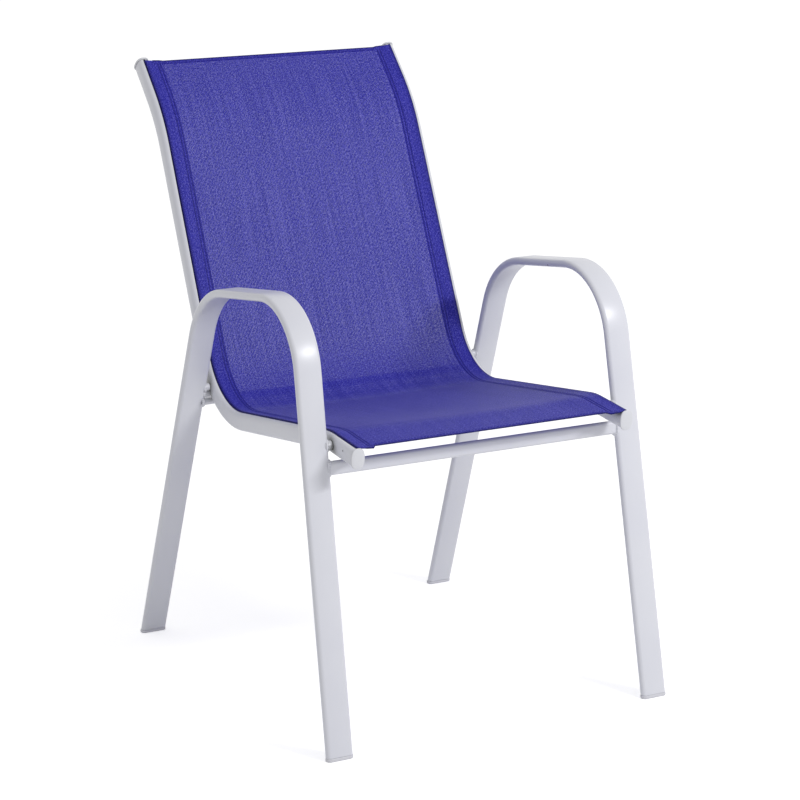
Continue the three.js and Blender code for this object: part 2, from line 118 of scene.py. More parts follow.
class LoopSizes(PropertyGroup):
    """The side loops: one bent flat-oval tube each for front leg, arm and rear leg."""

    leg_width: length("Leg width", "Flat-oval tube, across the chair", 40)
    leg_thickness: length("Leg thickness", "Flat-oval tube, in the side plane", 12)
    wall: length("Wall", "Wall of the tube", 1.5)
    foot_spread: length("Foot spread", "Front foot to rear foot", 637)
    foot_half_span: length("Half span", "Chair's middle to a leg's middle, on the floor", 255)
    lean: number("Lean", "How much a loop comes in for each unit of height", 0.016)
    front_y: length("Arm front", "The arm line's front corner, behind the feet's middle", -204.6)
    front_z: length("Arm front height", "Height of the arm line's front corner", 617)
    rear_y: length("Arm rear", "The arm line's rear corner, behind the feet's middle", 95.2)
    rear_z: length("Arm rear height", "Height of the arm line's rear corner", 577.4)
    front_bend: length("Front bend", "Radius of the bend over the front leg", 104)
    rear_bend: length("Rear bend", "Radius of the bend over the rear leg", 123)
    middle_y: length("Feet's middle", "That middle, from the middle of the chair's box", -44.963)
    round_facets: count("Round facets", "Facets round each end of the oval", 14)


class GlideSizes(PropertyGroup):
    """The plastic glides under the legs."""

    height: length("Height", "Foot pad below the leg's cut end", 5)
    lip: length("Lip", "How far the pad stands out past the tube", 0.6)
    edge: length("Edge", "Rounding of the pad's edges", 1.3)
    plug: length("Plug", "Length of the plug in the leg", 22)


class RailSizes(PropertyGroup):
    """The slotted oval rails that hold the sling, and their end caps."""

    width: length("Width", "Oval tube, across the chair", 18)
    depth: length("Depth", "Oval tube, from the sitter's side to the back", 27)
    wall: length("Wall", "Wall of the tube", 1.5)
    squareness: number("Squareness", "2 makes the section an ellipse, more makes it squarer", 2.6)
    slot: length("Slot", "Width of the slot that the sling passes through", 3.2)
    lip_round: length("Lip rounding", "Rounding of the slot's lips", 0.4)
    lean: number("Lean", "How much a rail comes in for each unit of height", 0.0058)
    front_y: length("Front end", "Front end of the rail, behind the feet's middle", -300)
    front_z: length("Front end height", "Height of the rail's front end", 413.5)
    brow_y: length("Brow", "Corner where the seat turns down in front", -223)
    brow_z: length("Brow height", "Height of that corner", 421.4)
    crook_y: length("Crook", "Corner between seat and back", 144.6)
    crook_z: length("Crook height", "Height of that corner", 376)
    neck_y: length("Neck", "Corner where the back leans further back", 329.8)
    neck_z: length("Neck height", "Height of that corner", 794.2)
    top_y: length("Top end", "Top end of the rail, behind the feet's middle", 401.9)
    top_z: length("Top end height", "Height of the rail's top end", 870.6)
    brow_bend: length("Brow bend", "Radius of the bend in front", 108)
    crook_bend: length("Crook bend", "Radius of the bend between seat and back", 121)
    neck_bend: length("Neck bend", "Radius of the bend high on the back", 252)
    facets: count("Facets", "Facets round the oval", 56)
    cap_lip: length("Cap lip", "How far an end cap stands out past the rail", 1.2)
    cap_thickness: length("Cap thickness", "Thickness of an end cap's flange", 3.4)
    cap_edge: length("Cap edge", "Rounding of the flange", 1.1)
    cap_dome: length("Cap dome", "How far the flange's face swells", 0.5)
    cap_ring: length("Cap ring", "Width of each ring of faces in that swell", 1.6)
    cap_plug: length("Cap plug", "Length of the plug in the rail", 15)
    vent: length("Vent", "Diameter of the small hole in a rail's outer wall", 2.4)
    vent_place: length("Vent place", "That hole's distance from the rail's front end", 25)
    vent_rise: length("Vent rise", "That hole's height over the rail's centreline", 3.5)


class JointSizes(PropertyGroup):
    """Crossbars, welds, spacers and bolts."""

    play: length("Play", "Clearance between pieces that fit together", 0.3)
    bar_width: length("Bar width", "Wide way of the crossbars' flat-oval tube", 20)
    bar_thickness: length("Bar thickness", "Narrow way of that tube", 10)
    bar_wall: length("Bar wall", "Wall of that tube", 1.2)
    bar_bite: length("Bar bite", "How far a bar's cut end reaches along the leg", 3)
    bar_facets: count("Bar facets", "Facets round each end of that tube's oval", 12)
    weld: length("Weld", "Radius of a weld's bead", 2.3)
    ripple: length("Weld ripple", "Distance between the ripples of a bead", 2.1)
    ripple_height: number("Ripple height", "Swell of a ripple, as a share of the radius", 0.16)
    spacer: length("Spacer", "Diameter of the front spacers between leg and rail", 14)
    rear_spacer: length("Rear spacer", "Diameter of the rear spacers", 11)
    spacer_edge: length("Spacer edge", "Rounding of a spacer's ends", 0.5)
    spacer_weld: number("Spacer weld", "A spacer's bead, as a share of a bar's bead", 0.7)
    rear_drop: length("Rear drop", "How far a rear spacer's middle lies below its bolt", 1.5)
    lug: length("Lug", "Diameter of the second lump under a rear spacer", 9)
    lug_edge: length("Lug edge", "Rounding of that lump", 1.4)
    lug_drop: length("Lug drop", "How far that lump's middle lies below the bolt", 12.2)
    lug_reach: length("Lug reach", "How far that lump reaches on under the rail", 3.5)
    bolt: length("Bolt", "Diameter of a bolt's shank", 6)
    bolt_edge: length("Bolt edge", "Rounding of the shank's tip", 0.4)
    head: length("Bolt head", "Diameter of a bolt's domed head", 11)
    head_height: length("Head height", "Height of that dome", 3.6)
    head_edge: length("Head edge", "Rounding under the dome", 0.3)
    socket: length("Socket", "Width of the hexagon socket across its flats", 4)
    socket_depth: length("Socket depth", "Depth of that socket", 2)


class SlingSizes(PropertyGroup):
    """The woven sheet, its hems and its stitching."""

    thickness: length("Thickness", "Thickness of one layer of mesh", 0.4)
    layer_step: length("Layer step", "From one layer's middle to the next one's, in a hem", 0.9)
    rest: length("Rest height", "Middle of the top layer, over the rail's centreline", 15.25)
    hem: length("Hem", "Width of the side hems, from the slot", 27)
    rod_level: length("Rod level", "Middle of the keder rod, over the rail's centreline", 7.3)
    pocket: length("Pocket", "Radius of the middle of the pocket round the rod", 3.15)
    neck: length("Neck", "Half the distance between the two layers in the slot", 0.45)
    fold: length("Fold", "Radius of the fold over the slot's outer lip", 1.3)
    top_inset: length("Top inset", "How far the sling ends before the rails' top ends", 3)
    front_step: length("Front step", "How far the free sheet stops short in front", 7)
    top_step: length("Top step", "How far the free sheet stops short at the top", 1.5)
    shoulder: length("Shoulder", "Drop from the slot to the hem's inner edge", 3)
    seat_sag: length("Seat sag", "Further drop in the middle of the seat", 4.5)
    back_sag: length("Back sag", "Further drop in the middle of the back", 1.5)
    row: length("Row", "Length of a row of faces along the sheet", 6)
    seam_inset: length("Seam inset", "First row of stitches, from the hem's inner edge", 2)
    seam_gap: length("Seam gap", "Distance between the two rows of stitches", 4.8)
    seam_groove: length("Seam groove", "Depth that the stitches pull the mesh down", 0.3)
    seam_end: length("Seam end", "Distance from a seam's end to the sheet's edge", 3)
    stitch: length("Stitch", "From one stitch to the next one", 5)
    stitch_run: length("Stitch run", "Length of thread that shows in each stitch", 4)
    thread: length("Thread", "Radius of the sewing thread", 0.55)
    edge_hem: length("Edge hem", "Width of the turned hems in front and at the top", 6)
    edge_round: length("Edge rounding", "How much rounder than two layers their fold is", 0.35)
    edge_seam: length("Edge seam", "Row of stitches on those hems, from the sheet's edge", 4.5)
    edge_thickness: length("Edge thickness", "Thickness of the mesh in those hems", 0.24)
    warp: length("Warp pitch", "Distance between the lengthwise yarns, as drawn", 2.4)
    weft: length("Weft pitch", "Distance between the crosswise yarns, as drawn", 1.7)


class ChairColours(PropertyGroup):
    """Colours of the pieces and the floor."""

    coat: paint("Powder coat", "Frame, rails and bars", "#DADBE1")
    coat_cloud: paint("Clouded coat", "Faint clouds in the powder coat", "#CFD0DA")
    chip: paint("Chipped coat", "Small chips and specks in the coat", "#6E6A70")
    # Painted shade, for the narrow gaps beside the legs
    painted_gap_shade: paint("Gap shade", "Painted shade in the gaps between rails and legs", "#5C5D59")
    cap: paint("Cap plastic", "End caps of the rails", "#D3D4DA")
    glide: paint("Glide plastic", "Glides under the legs", "#CFCFD6")
    rod: paint("Rod plastic", "Keder rods in the sling's pockets", "#7C7E86")
    zinc: paint("Zinc plate", "Bolts", "#C4C7CC")
    # Painted highlight, for rare glints on the yarns
    yarn_glint: paint("Yarn glint", "Rare painted glints on the mesh", "#524FBC")
    yarn: paint("Yarn", "Most yarns of the mesh", "#3735AB")
    yarn_dark: paint("Dark yarn", "Darkest yarns of the mesh", "#1A188B")
    # Painted shade for the mesh's folds and seam grooves, where the yarns also bunch up
    crease: paint("Crease", "Painted shade in the mesh's folds and seams, where the yarns also bunch up", "#0D0966")
    thread: paint("Thread", "Sewing thread", "#15127E")
    # Painted highlight, for the raised strands of the thread
    thread_highlight: paint("Thread highlight", "Painted highlight on the thread's raised strands", "#211E94")
    floor: paint("Floor", "Studio floor", "#F4F4F4")


class StageSettings(PropertyGroup):
    """The photograph's camera, and a soft studio."""

    frame_px: count("Frame", "Side of the square picture, in pixels", 800)
    focal_px: number("Focal length", "Lens, in pixels of that picture", 2706.0)
    sensor: number("Sensor", "Width of the camera's sensor, in millimetres", 36.0, "CAMERA")
    azimuth: angle("Azimuth", "Camera's turn from straight in front", -28.36)
    elevation: angle("Elevation", "Camera's height angle", 13.57)
    roll: angle("Roll", "Camera's roll", -0.41)
    distance: length("Distance", "Camera to the point it looks at", 3948.6)
    target_y: length("Target depth", "That point, behind the feet's middle", -26.6)
    target_z: length("Target height", "Height of that point", 410.9)
    key_azimuth: angle("Key azimuth", "Key light's turn from straight in front", 25.5)
    key_elevation: angle("Key elevation", "Key light's height angle", 33.5)
    key_distance: length("Key distance", "Key light to the point the camera looks at", 3000)
    key_width: length("Key width", "Width of the key light", 900)
    key_height: length("Key height", "Height of the key light", 240)
    key_power: number("Key power", "Power of the key light", 36.0, "POWER")
    sky: number("Sky", "Strength of the even light from all round", 0.62)
    floor_lift: number("Floor lift", "Light that the floor shows the camera on its own", 0.5)
    floor_size: length("Floor size", "Side of the square floor", 30000)


SETTINGS = {
    "chair_loops": LoopSizes,
    "chair_glides": GlideSizes,
    "chair_rails": RailSizes,
    "chair_joints": JointSizes,
    "chair_sling": SlingSizes,
    "chair_colours": ChairColours,
    "chair_stage": StageSettings,
}


def settings(name):
    """A group of settings that the scene holds."""
    return getattr(bpy.context.scene, "chair_" + name)


# Routes of bent tubes in the chair's side plane

class Route:
    """Straight runs joined by round bends, in the plane of y and z. A run is its start, its
    heading, its length and the angle that it turns by."""

    def __init__(self, corners, radii, middle_y):
        points = [Vector((y + middle_y, z)) for y, z in corners]
        self.runs = []
        at = points[0]
        for index, radius in enumerate(radii, start=1):
            before = (points[index] - points[index - 1]).normalized()
            after = (points[index + 1] - points[index]).normalized()
            turn = math.atan2(before.cross(after), before.dot(after))
            inset = radius * math.tan(abs(turn) / 2)
            start = points[index] - before * inset
            self.add_straight(at, start)
            heading = math.atan2(before.y, before.x)
            self.runs.append((start, heading, radius * abs(turn), turn))
            at = points[index] + after * inset
        self.add_straight(at, points[-1])
        self.length = sum(run[2] for run in self.runs)

    def add_straight(self, start, end):
        step = end - start
        self.runs.append((start, math.atan2(step.y, step.x), step.length, 0.0))

    @staticmethod
    def centre(run):
        """The centre of a bend."""
        start, heading, reach, turn = run
        radius = reach / turn
        return start + Vector((-math.sin(heading), math.cos(heading))) * radius

    def at(self, distance):
        """Place and heading angle at a distance along the route, straight on past its ends."""
        for run in self.runs:
            start, heading, reach, turn = run
            if distance <= reach or run is self.runs[-1]:
                break
            distance -= reach
        if turn == 0.0:
            return start + Vector((math.cos(heading), math.sin(heading))) * distance, heading
        turned = turn * distance / reach
        centre = self.centre(run)
        arm = start - centre
        arm.rotate(Matrix.Rotation(turned, 2))
        return centre + arm, heading + turned

    def point(self, distance, across, offset):
        """A point in space: across the chair, and offset to the left of the heading."""
        place, heading = self.at(distance)
        place = place + Vector((-math.sin(heading), math.cos(heading))) * offset
        return Vector((across, place.x, place.y))


def loop_route():
    """A side loop's middle line, from the front foot over the arm to the rear foot."""
    s = settings("loops")
    half = s.foot_spread / 2
    corners = [(-half, 0.0), (s.front_y, s.front_z), (s.rear_y, s.rear_z), (half, 0.0)]
    return Route(corners, [s.front_bend, s.rear_bend], s.middle_y)


def rail_route():
    """A rail's middle line, from its front end to its top end."""
    s = settings("rails")
    corners = [
        (s.front_y, s.front_z),
        (s.brow_y, s.brow_z),
        (s.crook_y, s.crook_z),
        (s.neck_y, s.neck_z),
        (s.top_y, s.top_z),
    ]
    return Route(corners, [s.brow_bend, s.crook_bend, s.neck_bend], settings("loops").middle_y)


def lean_matrix(side, floor_x, lean):
    """Sets a piece modelled about x = 0 at its place across the chair, leaning in as it rises."""
    matrix = Matrix.Identity(4)
    matrix[0][2] = -side * lean
    matrix[0][3] = side * floor_x
    return matrix


def loop_lean(side):
    """Puts a side loop modelled about x = 0 in its place."""
    s = settings("loops")
    return lean_matrix(side, s.foot_half_span, s.lean)


def leg_inner_x(z):
    """A leg's inner edge at a height, from the chair's middle."""
    s = settings("loops")
    return s.foot_half_span - s.lean * z - s.leg_width / 2


def rail_floor_x():
    """The rails' distance from the middle, carried down to the floor, from the packed rail."""
    s = settings("rails")
    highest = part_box("sling_rail_left")[1]
    return highest.x - s.width / 2 + s.lean * (s.crook_z + s.depth / 2)


def rail_x(z):
    """A rail's middle at a height, from the chair's middle."""
    return rail_floor_x() - settings("rails").lean * z


def rail_lean(side):
    """Puts a rail modelled about x = 0 in its place."""
    return lean_matrix(side, rail_floor_x(), settings("rails").lean)


def centre_of(node):
    """The middle of a packed solid's box."""
    lowest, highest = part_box(node)
    return (lowest + highest) / 2


# Modelling by hand, in code

def deselect_all():
    """Leaves edit mode and deselects every object."""
    if bpy.context.mode != "OBJECT":
        bpy.ops.object.mode_set(mode="OBJECT")
    bpy.ops.object.select_all(action="DESELECT")


def make_active(piece):
    """Selects one piece alone, in object mode."""
    deselect_all()
    piece.select_set(True)
    bpy.context.view_layer.objects.active = piece


def edit(piece):
    """Enters edit mode with nothing selected."""
    make_active(piece)
    bpy.ops.object.mode_set(mode="EDIT")
    bpy.ops.mesh.select_all(action="DESELECT")


def edit_all(piece, kind="VERT"):
    """Enters edit mode with all vertices, edges or faces selected."""
    edit(piece)
    bpy.ops.mesh.select_mode(type=kind)
    bpy.ops.mesh.select_all(action="SELECT")


def pick(piece, test, kind="VERT"):
    """In edit mode, selects only the vertices, edges or faces that pass a test on their middle."""
    bpy.ops.mesh.select_mode(type=kind)
    bpy.ops.mesh.select_all(action="DESELECT")
    mesh = bmesh.from_edit_mesh(piece.data)
    for part in {"VERT": mesh.verts, "EDGE": mesh.edges, "FACE": mesh.faces}[kind]:
        corners = [part] if kind == "VERT" else part.verts
        part.select_set(test(sum((corner.co for corner in corners), Vector()) / len(corners)))
    mesh.select_flush_mode()
    bmesh.update_edit_mesh(piece.data)


def bake_place(piece):
    """Puts a piece's place into its mesh, so that its object sits at the origin."""
    make_active(piece)
    bpy.ops.object.transform_apply(location=True, rotation=True, scale=True)


def move(piece, *step):
    """Moves a piece's mesh, and leaves its object at the origin."""
    piece.data.transform(Matrix.Translation(step))


def duplicate(piece, name, matrix):
    """Copies a piece with its mesh, and moves the copy by a matrix."""
    copy = piece.copy()
    copy.data = piece.data.copy()
    copy.name = name
    copy.data.name = name
    copy.data.transform(matrix)
    bpy.context.scene.collection.objects.link(copy)
    return copy


def remove(piece):
    bpy.data.objects.remove(piece, do_unlink=True)


def face_outwards(piece):
    """Joins vertices that lie together, and turns all faces outwards."""
    edit_all(piece)
    bpy.ops.mesh.remove_doubles(threshold=SAME_PLACE)
    bpy.ops.mesh.normals_make_consistent(inside=False)
    deselect_all()


def apply_modifier(piece, kind, **values):
    """Adds a modifier, sets it and applies it."""
    make_active(piece)
    modifier = piece.modifiers.new(kind.title(), kind)
    for name, value in values.items():
        setattr(modifier, name, value)
    bpy.ops.object.modifier_apply(modifier=modifier.name)


def hollow(piece, wall):
    """Gives a tube's outer skin its wall, inwards."""
    apply_modifier(piece, "SOLIDIFY", thickness=wall, offset=-1.0, use_even_offset=True)


def round_edges(piece, width, segments=2, sharper_than=30):
    """Bevels the edges that turn by more than an angle in degrees."""
    apply_modifier(
        piece,
        "BEVEL",
        width=width,
        segments=segments,
        limit_method="ANGLE",
        angle_limit=math.radians(sharper_than),
    )


def combine(piece, tool, operation="DIFFERENCE"):
    """Cuts a tool out of a piece, or joins it on, and keeps the tool."""
    apply_modifier(piece, "BOOLEAN", operation=operation, object=tool, solver="EXACT")


def cut_away(piece, tool):
    """Cuts a tool's shape out of a piece, and drops the tool."""
    combine(piece, tool)
    remove(tool)


def join_on(piece, part):
    """Makes a part one solid with a piece."""
    combine(piece, part, "UNION")
    remove(part)


def cut_level(piece, height, drop="below", fill=False):
    """Cuts a piece off level at a height and drops what is below or above."""
    edit_all(piece)
    bpy.ops.mesh.bisect(
        plane_co=(0, 0, height),
        plane_no=(0, 0, 1),
        clear_inner=drop == "below",
        clear_outer=drop == "above",
        use_fill=fill,
    )
    deselect_all()


def thicken(plate, step):
    """Extrudes a flat plate by a step into a closed solid."""
    edit_all(plate)
    bpy.ops.mesh.extrude_region_move(TRANSFORM_OT_translate={"value": step})
    face_outwards(plate)


def pull_apart(ring, distance):
    """Moves a ring's two halves apart along x, with straight edges between them."""
    edit(ring)
    for way in (1, -1):
        pick(ring, lambda place: place.x * way > 0)
        bpy.ops.transform.translate(value=(way * distance, 0, 0))
    deselect_all()


def add_primitive(kind, name, **shape):
    """Adds one of Blender's primitives, with its place in its mesh."""
    deselect_all()
    getattr(bpy.ops.mesh, f"primitive_{kind}_add")(**shape)
    piece = bpy.context.active_object
    piece.name = name
    piece.data.name = name
    bake_place(piece)
    return piece


def add_circle(name, vertices, radius, fill):
    """A ring about the origin, turned half a facet so that no vertex lies on an axis."""
    turn = (0, 0, math.pi / vertices)
    return add_primitive(
        "circle", name, vertices=vertices, radius=radius, fill_type=fill, rotation=turn
    )


def add_flat_oval(name, width, thickness, facets, fill="NOTHING"):
    """A flat-oval ring in the plane of x and y, wide along x."""
    oval = add_circle(name, 2 * facets, thickness / 2, fill)
    pull_apart(oval, (width - thickness) / 2)
    return oval


def add_rod(name, radius, start_x, end_x, place, facets):
    """A closed round bar across the chair."""
    return add_primitive(
        "cylinder",
        name,
        vertices=facets,
        radius=radius,
        depth=abs(end_x - start_x),
        location=((start_x + end_x) / 2, place.y, place.z),
        rotation=(0, math.pi / 2, 0),
    )


def add_mesh(name, places, faces):
    """Adds a piece from its vertices and faces."""
    mesh = bpy.data.meshes.new(name)
    mesh.from_pydata(places, [], faces)
    piece = bpy.data.objects.new(name, mesh)
    bpy.context.scene.collection.objects.link(piece)
    return piece


def stand_on_route(section, place, heading):
    """Turns a flat section square to a heading: its y comes to point to the heading's right."""
    section.location = (0, place.x, place.y)
    section.rotation_euler = (heading - math.pi / 2, 0, 0)
    bake_place(section)


def run_along(section, route, degrees_per_step):
    """Extrudes and spins a section's edges along a route from its start."""
    edit_all(section, "EDGE")
    for run in route.runs:
        _, heading, reach, turn = run
        if turn == 0.0:
            step = Vector((0, math.cos(heading), math.sin(heading))) * reach
            bpy.ops.mesh.extrude_edges_move(TRANSFORM_OT_translate={"value": step})
            continue
        centre = route.centre(run)
        bpy.ops.mesh.spin(
            steps=math.ceil(abs(math.degrees(turn)) / degrees_per_step),
            angle=-turn,
            center=(0, centre.x, centre.y),
            axis=(1, 0, 0),
        )
    face_outwards(section)


# Materials

# A Mix node's sockets share their names, so these are their numbers
FACTOR = 0
FLOAT_A = 2
FLOAT_B = 3
COLOUR_A = 6
COLOUR_B = 7
COLOUR = 2


def add_node(tree, kind, inputs=None, **values):
    """Adds a node and sets it. An input gets a value, or a link from an output or from a node's
    first output."""
    node = tree.nodes.new("ShaderNode" + kind)
    for name, value in values.items():
        setattr(node, name, value)
    for name, value in (inputs or {}).items():
        if isinstance(value, bpy.types.Node):
            value = value.outputs[0]
        if isinstance(value, bpy.types.NodeSocket):
            tree.links.new(value, node.inputs[name])
        else:
            node.inputs[name].default_value = value
    return node


def new_material(name):
    """An empty node material, and its tree."""
    made = bpy.data.materials.new(name)
    made.use_nodes = True
    made.node_tree.nodes.clear()
    return made, made.node_tree


def powder_coat(name="powder_coated_steel", shaded_gaps=False):
    """Polyester powder coat, sprayed and baked: a fine orange peel, and a few chips and specks."""
    colours = settings("colours")
    made, tree = new_material(name)
    place = add_node(tree, "TexCoord").outputs["Object"]
    cloud = add_node(tree, "TexNoise", {"Vector": place, "Scale": 9.0, "Detail": 3.0})
    mixed = {FACTOR: cloud, COLOUR_A: colours.coat, COLOUR_B: colours.coat_cloud}
    tone = add_node(tree, "Mix", mixed, data_type="RGBA")
    # Chips are about a millimetre across and a hand apart, because most cells hold none
    chip_reach = 0.034
    without_chip = 0.86
    cells = add_node(tree, "TexVoronoi", {"Vector": place, "Scale": 26.0, "Randomness": 1.0})
    near = {0: cells.outputs["Distance"], 1: chip_reach}
    spot = add_node(tree, "Math", near, operation="LESS_THAN")
    drawn = add_node(tree, "SeparateColor", {"Color": cells.outputs["Color"]})
    rare = add_node(tree, "Math", {0: drawn, 1: without_chip}, operation="GREATER_THAN")
    chip = add_node(tree, "Math", {0: spot, 1: rare}, operation="MULTIPLY")
    mixed = {FACTOR: chip, COLOUR_A: tone.outputs[COLOUR], COLOUR_B: colours.chip}
    colour = add_node(tree, "Mix", mixed, data_type="RGBA")
    if shaded_gaps:
        # Painted shade: the coat is darkened where the narrow gaps beside the legs shade it, most of
        # all at the joints
        openness = add_node(tree, "AmbientOcclusion", {"Distance": 22 * MM}, samples=8)
        span = {"Value": openness.outputs["AO"], "From Min": 0.4, "From Max": 0.85}
        unshaded = add_node(tree, "MapRange", span)
        mixed = {FACTOR: unshaded, COLOUR_A: colours.painted_gap_shade, COLOUR_B: colour.outputs[COLOUR]}
        colour = add_node(tree, "Mix", mixed, data_type="RGBA")
    peel = add_node(tree, "TexNoise", {"Vector": place, "Scale": 520.0, "Detail": 2.0})
    bump = add_node(tree, "Bump", {"Height": peel, "Strength": 0.12, "Distance": 0.15 * MM})
    rough = add_node(tree, "MapRange", {"Value": cloud, "To Min": 0.26, "To Max": 0.36})
    skin = {"Base Color": colour.outputs[COLOUR], "Roughness": rough, "Normal": bump, "IOR": 1.5}
    coat = add_node(tree, "BsdfPrincipled", skin)
    add_node(tree, "OutputMaterial", {"Surface": coat})
    return made


def moulded_plastic(name, colour, roughness):
    """Injection-moulded plastic: a spark-eroded satin skin over one even colour."""
    made, tree = new_material(name)
    place = add_node(tree, "TexCoord").outputs["Object"]
    grain = add_node(tree, "TexNoise", {"Vector": place, "Scale": 900.0, "Detail": 2.0})
    shade = add_node(tree, "MapRange", {"Value": grain, "To Min": 0.94, "To Max": 1.03})
    tone = add_node(tree, "HueSaturation", {"Color": colour, "Value": shade})
    bump = add_node(tree, "Bump", {"Height": grain, "Strength": 0.15, "Distance": 0.08 * MM})
    skin = {"Base Color": tone, "Roughness": roughness, "Normal": bump, "IOR": 1.5}
    plastic = add_node(tree, "BsdfPrincipled", skin)
    add_node(tree, "OutputMaterial", {"Surface": plastic})
    return made


def zinc_plate():
    """Bright zinc-plated steel: cold-headed, with a faint brushed lay and a blue-grey shine."""
    made, tree = new_material("zinc_plated_steel")
    place = add_node(tree, "TexCoord").outputs["Object"]
    mark = add_node(tree, "TexNoise", {"Vector": place, "Scale": 700.0, "Detail": 3.0})
    rough = add_node(tree, "MapRange", {"Value": mark, "To Min": 0.26, "To Max": 0.42})
    skin = {"Base Color": settings("colours").zinc, "Metallic": 1.0, "Roughness": rough}
    metal = add_node(tree, "BsdfPrincipled", skin)
    add_node(tree, "OutputMaterial", {"Surface": metal})
    return made


def yarn_wave(tree, coordinate, pitch):
    """A yarn's round back along one direction of the cloth: 1 on its ridge and 0 in the gap."""
    turn = add_node(tree, "Math", {0: coordinate, 1: math.pi / pitch}, operation="MULTIPLY")
    wave = add_node(tree, "Math", {0: turn}, operation="SINE")
    return add_node(tree, "Math", {0: wave}, operation="ABSOLUTE")


def cloth_noise(tree, cloth, across, along):
    """Unevenness that runs in strokes of the given size across and along the cloth."""
    stretch = add_node(tree, "Mapping", {"Vector": cloth, "Scale": (1 / across, 1 / along, 1.0)})
    return add_node(tree, "TexNoise", {"Vector": stretch, "Scale": 1.0, "Detail": 1.0})


def woven_mesh():
    """Vinyl-coated polyester yarns in an open plain weave: they shine a little, and the holes
    between them let the background through."""
    colours = settings("colours")
    sling = settings("sling")
    made, tree = new_material("vinyl_coated_polyester_mesh")
    cloth = add_node(tree, "UVMap", uv_map="cloth").outputs[0]
    axes = add_node(tree, "SeparateXYZ", {"Vector": cloth})
    # The real yarns lie about 1.2 and 0.85 mm apart. They are drawn twice as far apart, so that
    # they show
    warp = yarn_wave(tree, axes.outputs["X"], sling.warp)
    weft = yarn_wave(tree, axes.outputs["Y"], sling.weft)
    # A yarn swells and thins along its length, so the mesh shows short strokes both ways, and
    # whole columns that are a little lighter or darker
    warp_strokes = cloth_noise(tree, cloth, 1.5 * MM, 3.2 * MM)
    weft_strokes = cloth_noise(tree, cloth, 3.4 * MM, 1.5 * MM)
    columns = cloth_noise(tree, cloth, 3.5 * MM, 160.0 * MM)
    strokes = add_node(tree, "Mix", {FACTOR: 0.3, FLOAT_A: warp_strokes, FLOAT_B: weft_strokes})
    uneven = add_node(tree, "Mix", {FACTOR: 0.18, FLOAT_A: strokes, FLOAT_B: columns})
    tone = add_node(tree, "MapRange", {"Value": uneven, "From Min": 0.42, "From Max": 0.575})
    # Painted glints: only the lightest few strokes pass the plain yarn's colour, and they are drawn
    # lighter still
    yarn = add_node(tree, "ValToRGB", {"Fac": tone})
    ramp = yarn.color_ramp.elements
    ramp[0].color = colours.yarn_dark
    ramp[1].color = colours.yarn_glint
    for position in (0.7, 0.88):
        ramp.new(position).color = colours.yarn
    # Painted shade: the crease share darkens the mesh along its folds and seam grooves, where the
    # yarns also bunch up
    crease = add_node(tree, "Attribute", attribute_name="crease").outputs["Fac"]
    mixed = {FACTOR: crease, COLOUR_A: yarn, COLOUR_B: colours.crease}
    crease_shaded = add_node(tree, "Mix", mixed, data_type="RGBA")
    cover = add_node(tree, "Math", {0: warp, 1: weft}, operation="MAXIMUM")
    edge = add_node(tree, "MapRange", {"Value": tone, "To Min": 0.62, "To Max": 0.88})
    above_edge = add_node(tree, "Math", {0: cover, 1: edge}, operation="SUBTRACT")
    # A drawn hole stands for four real ones and the yarns between them, so it is more than half
    # closed
    closing = {"Value": above_edge, "From Min": -0.1, "From Max": 0.05, "To Min": 0.57}
    solid = add_node(tree, "MapRange", closing)
    bump = add_node(tree, "Bump", {"Height": cover, "Strength": 0.35, "Distance": 0.2 * MM})
    vinyl = {
        "Base Color": crease_shaded.outputs[COLOUR],
        "Alpha": solid,
        "Normal": bump,
        "Roughness": 0.62,
        "IOR": 1.5,
        "Specular IOR Level": 0.24,
        "Sheen Weight": 0.1,
        "Sheen Roughness": 0.35,
    }
    yarns = add_node(tree, "BsdfPrincipled", vinyl)
    add_node(tree, "OutputMaterial", {"Surface": yarns})
    return made


def sewing_thread():
    """Bonded polyester thread: matt, twisted and darker than the mesh it holds."""
    colours = settings("colours")
    made, tree = new_material("bonded_polyester_thread")
    place = add_node(tree, "TexCoord").outputs["Object"]
    # Painted highlight: the twist's raised strands are drawn in a lighter blue
    waves = {"Vector": place, "Scale": 900.0, "Distortion": 1.0}
    twist = add_node(tree, "TexWave", waves).outputs["Fac"]
    mixed = {FACTOR: twist, COLOUR_A: colours.thread, COLOUR_B: colours.thread_highlight}
    tone = add_node(tree, "Mix", mixed, data_type="RGBA")
    matt = {"Base Color": tone.outputs[COLOUR], "Roughness": 0.7}
    fibre = add_node(tree, "BsdfPrincipled", matt)
    add_node(tree, "OutputMaterial", {"Surface": fibre})
    return made


def ray_is(tree, *kinds):
    """1 where a light ray is of one of the given kinds, and 0 for all others."""
    path = add_node(tree, "LightPath")
    found = path.outputs[f"Is {kinds[0]} Ray"]
    for kind in kinds[1:]:
        other = path.outputs[f"Is {kind} Ray"]
        found = add_node(tree, "Math", {0: found, 1: other}, operation="MAXIMUM")
    return found


def studio_floor():
    """Painted studio floor: matt white that fades into the backdrop and keeps the shadow."""
    made, tree = new_material("matt_white_floor")
    matt = add_node(tree, "BsdfDiffuse", {"Color": settings("colours").floor})
    lift = add_node(tree, "Emission", {"Strength": settings("stage").floor_lift})
    dark = add_node(tree, "Emission", {"Strength": 0.0})
    shown = add_node(tree, "MixShader", {0: ray_is(tree, "Camera", "Glossy"), 1: dark, 2: lift})
    both = add_node(tree, "AddShader", {0: matt, 1: shown})
    add_node(tree, "OutputMaterial", {"Surface": both})
    return made


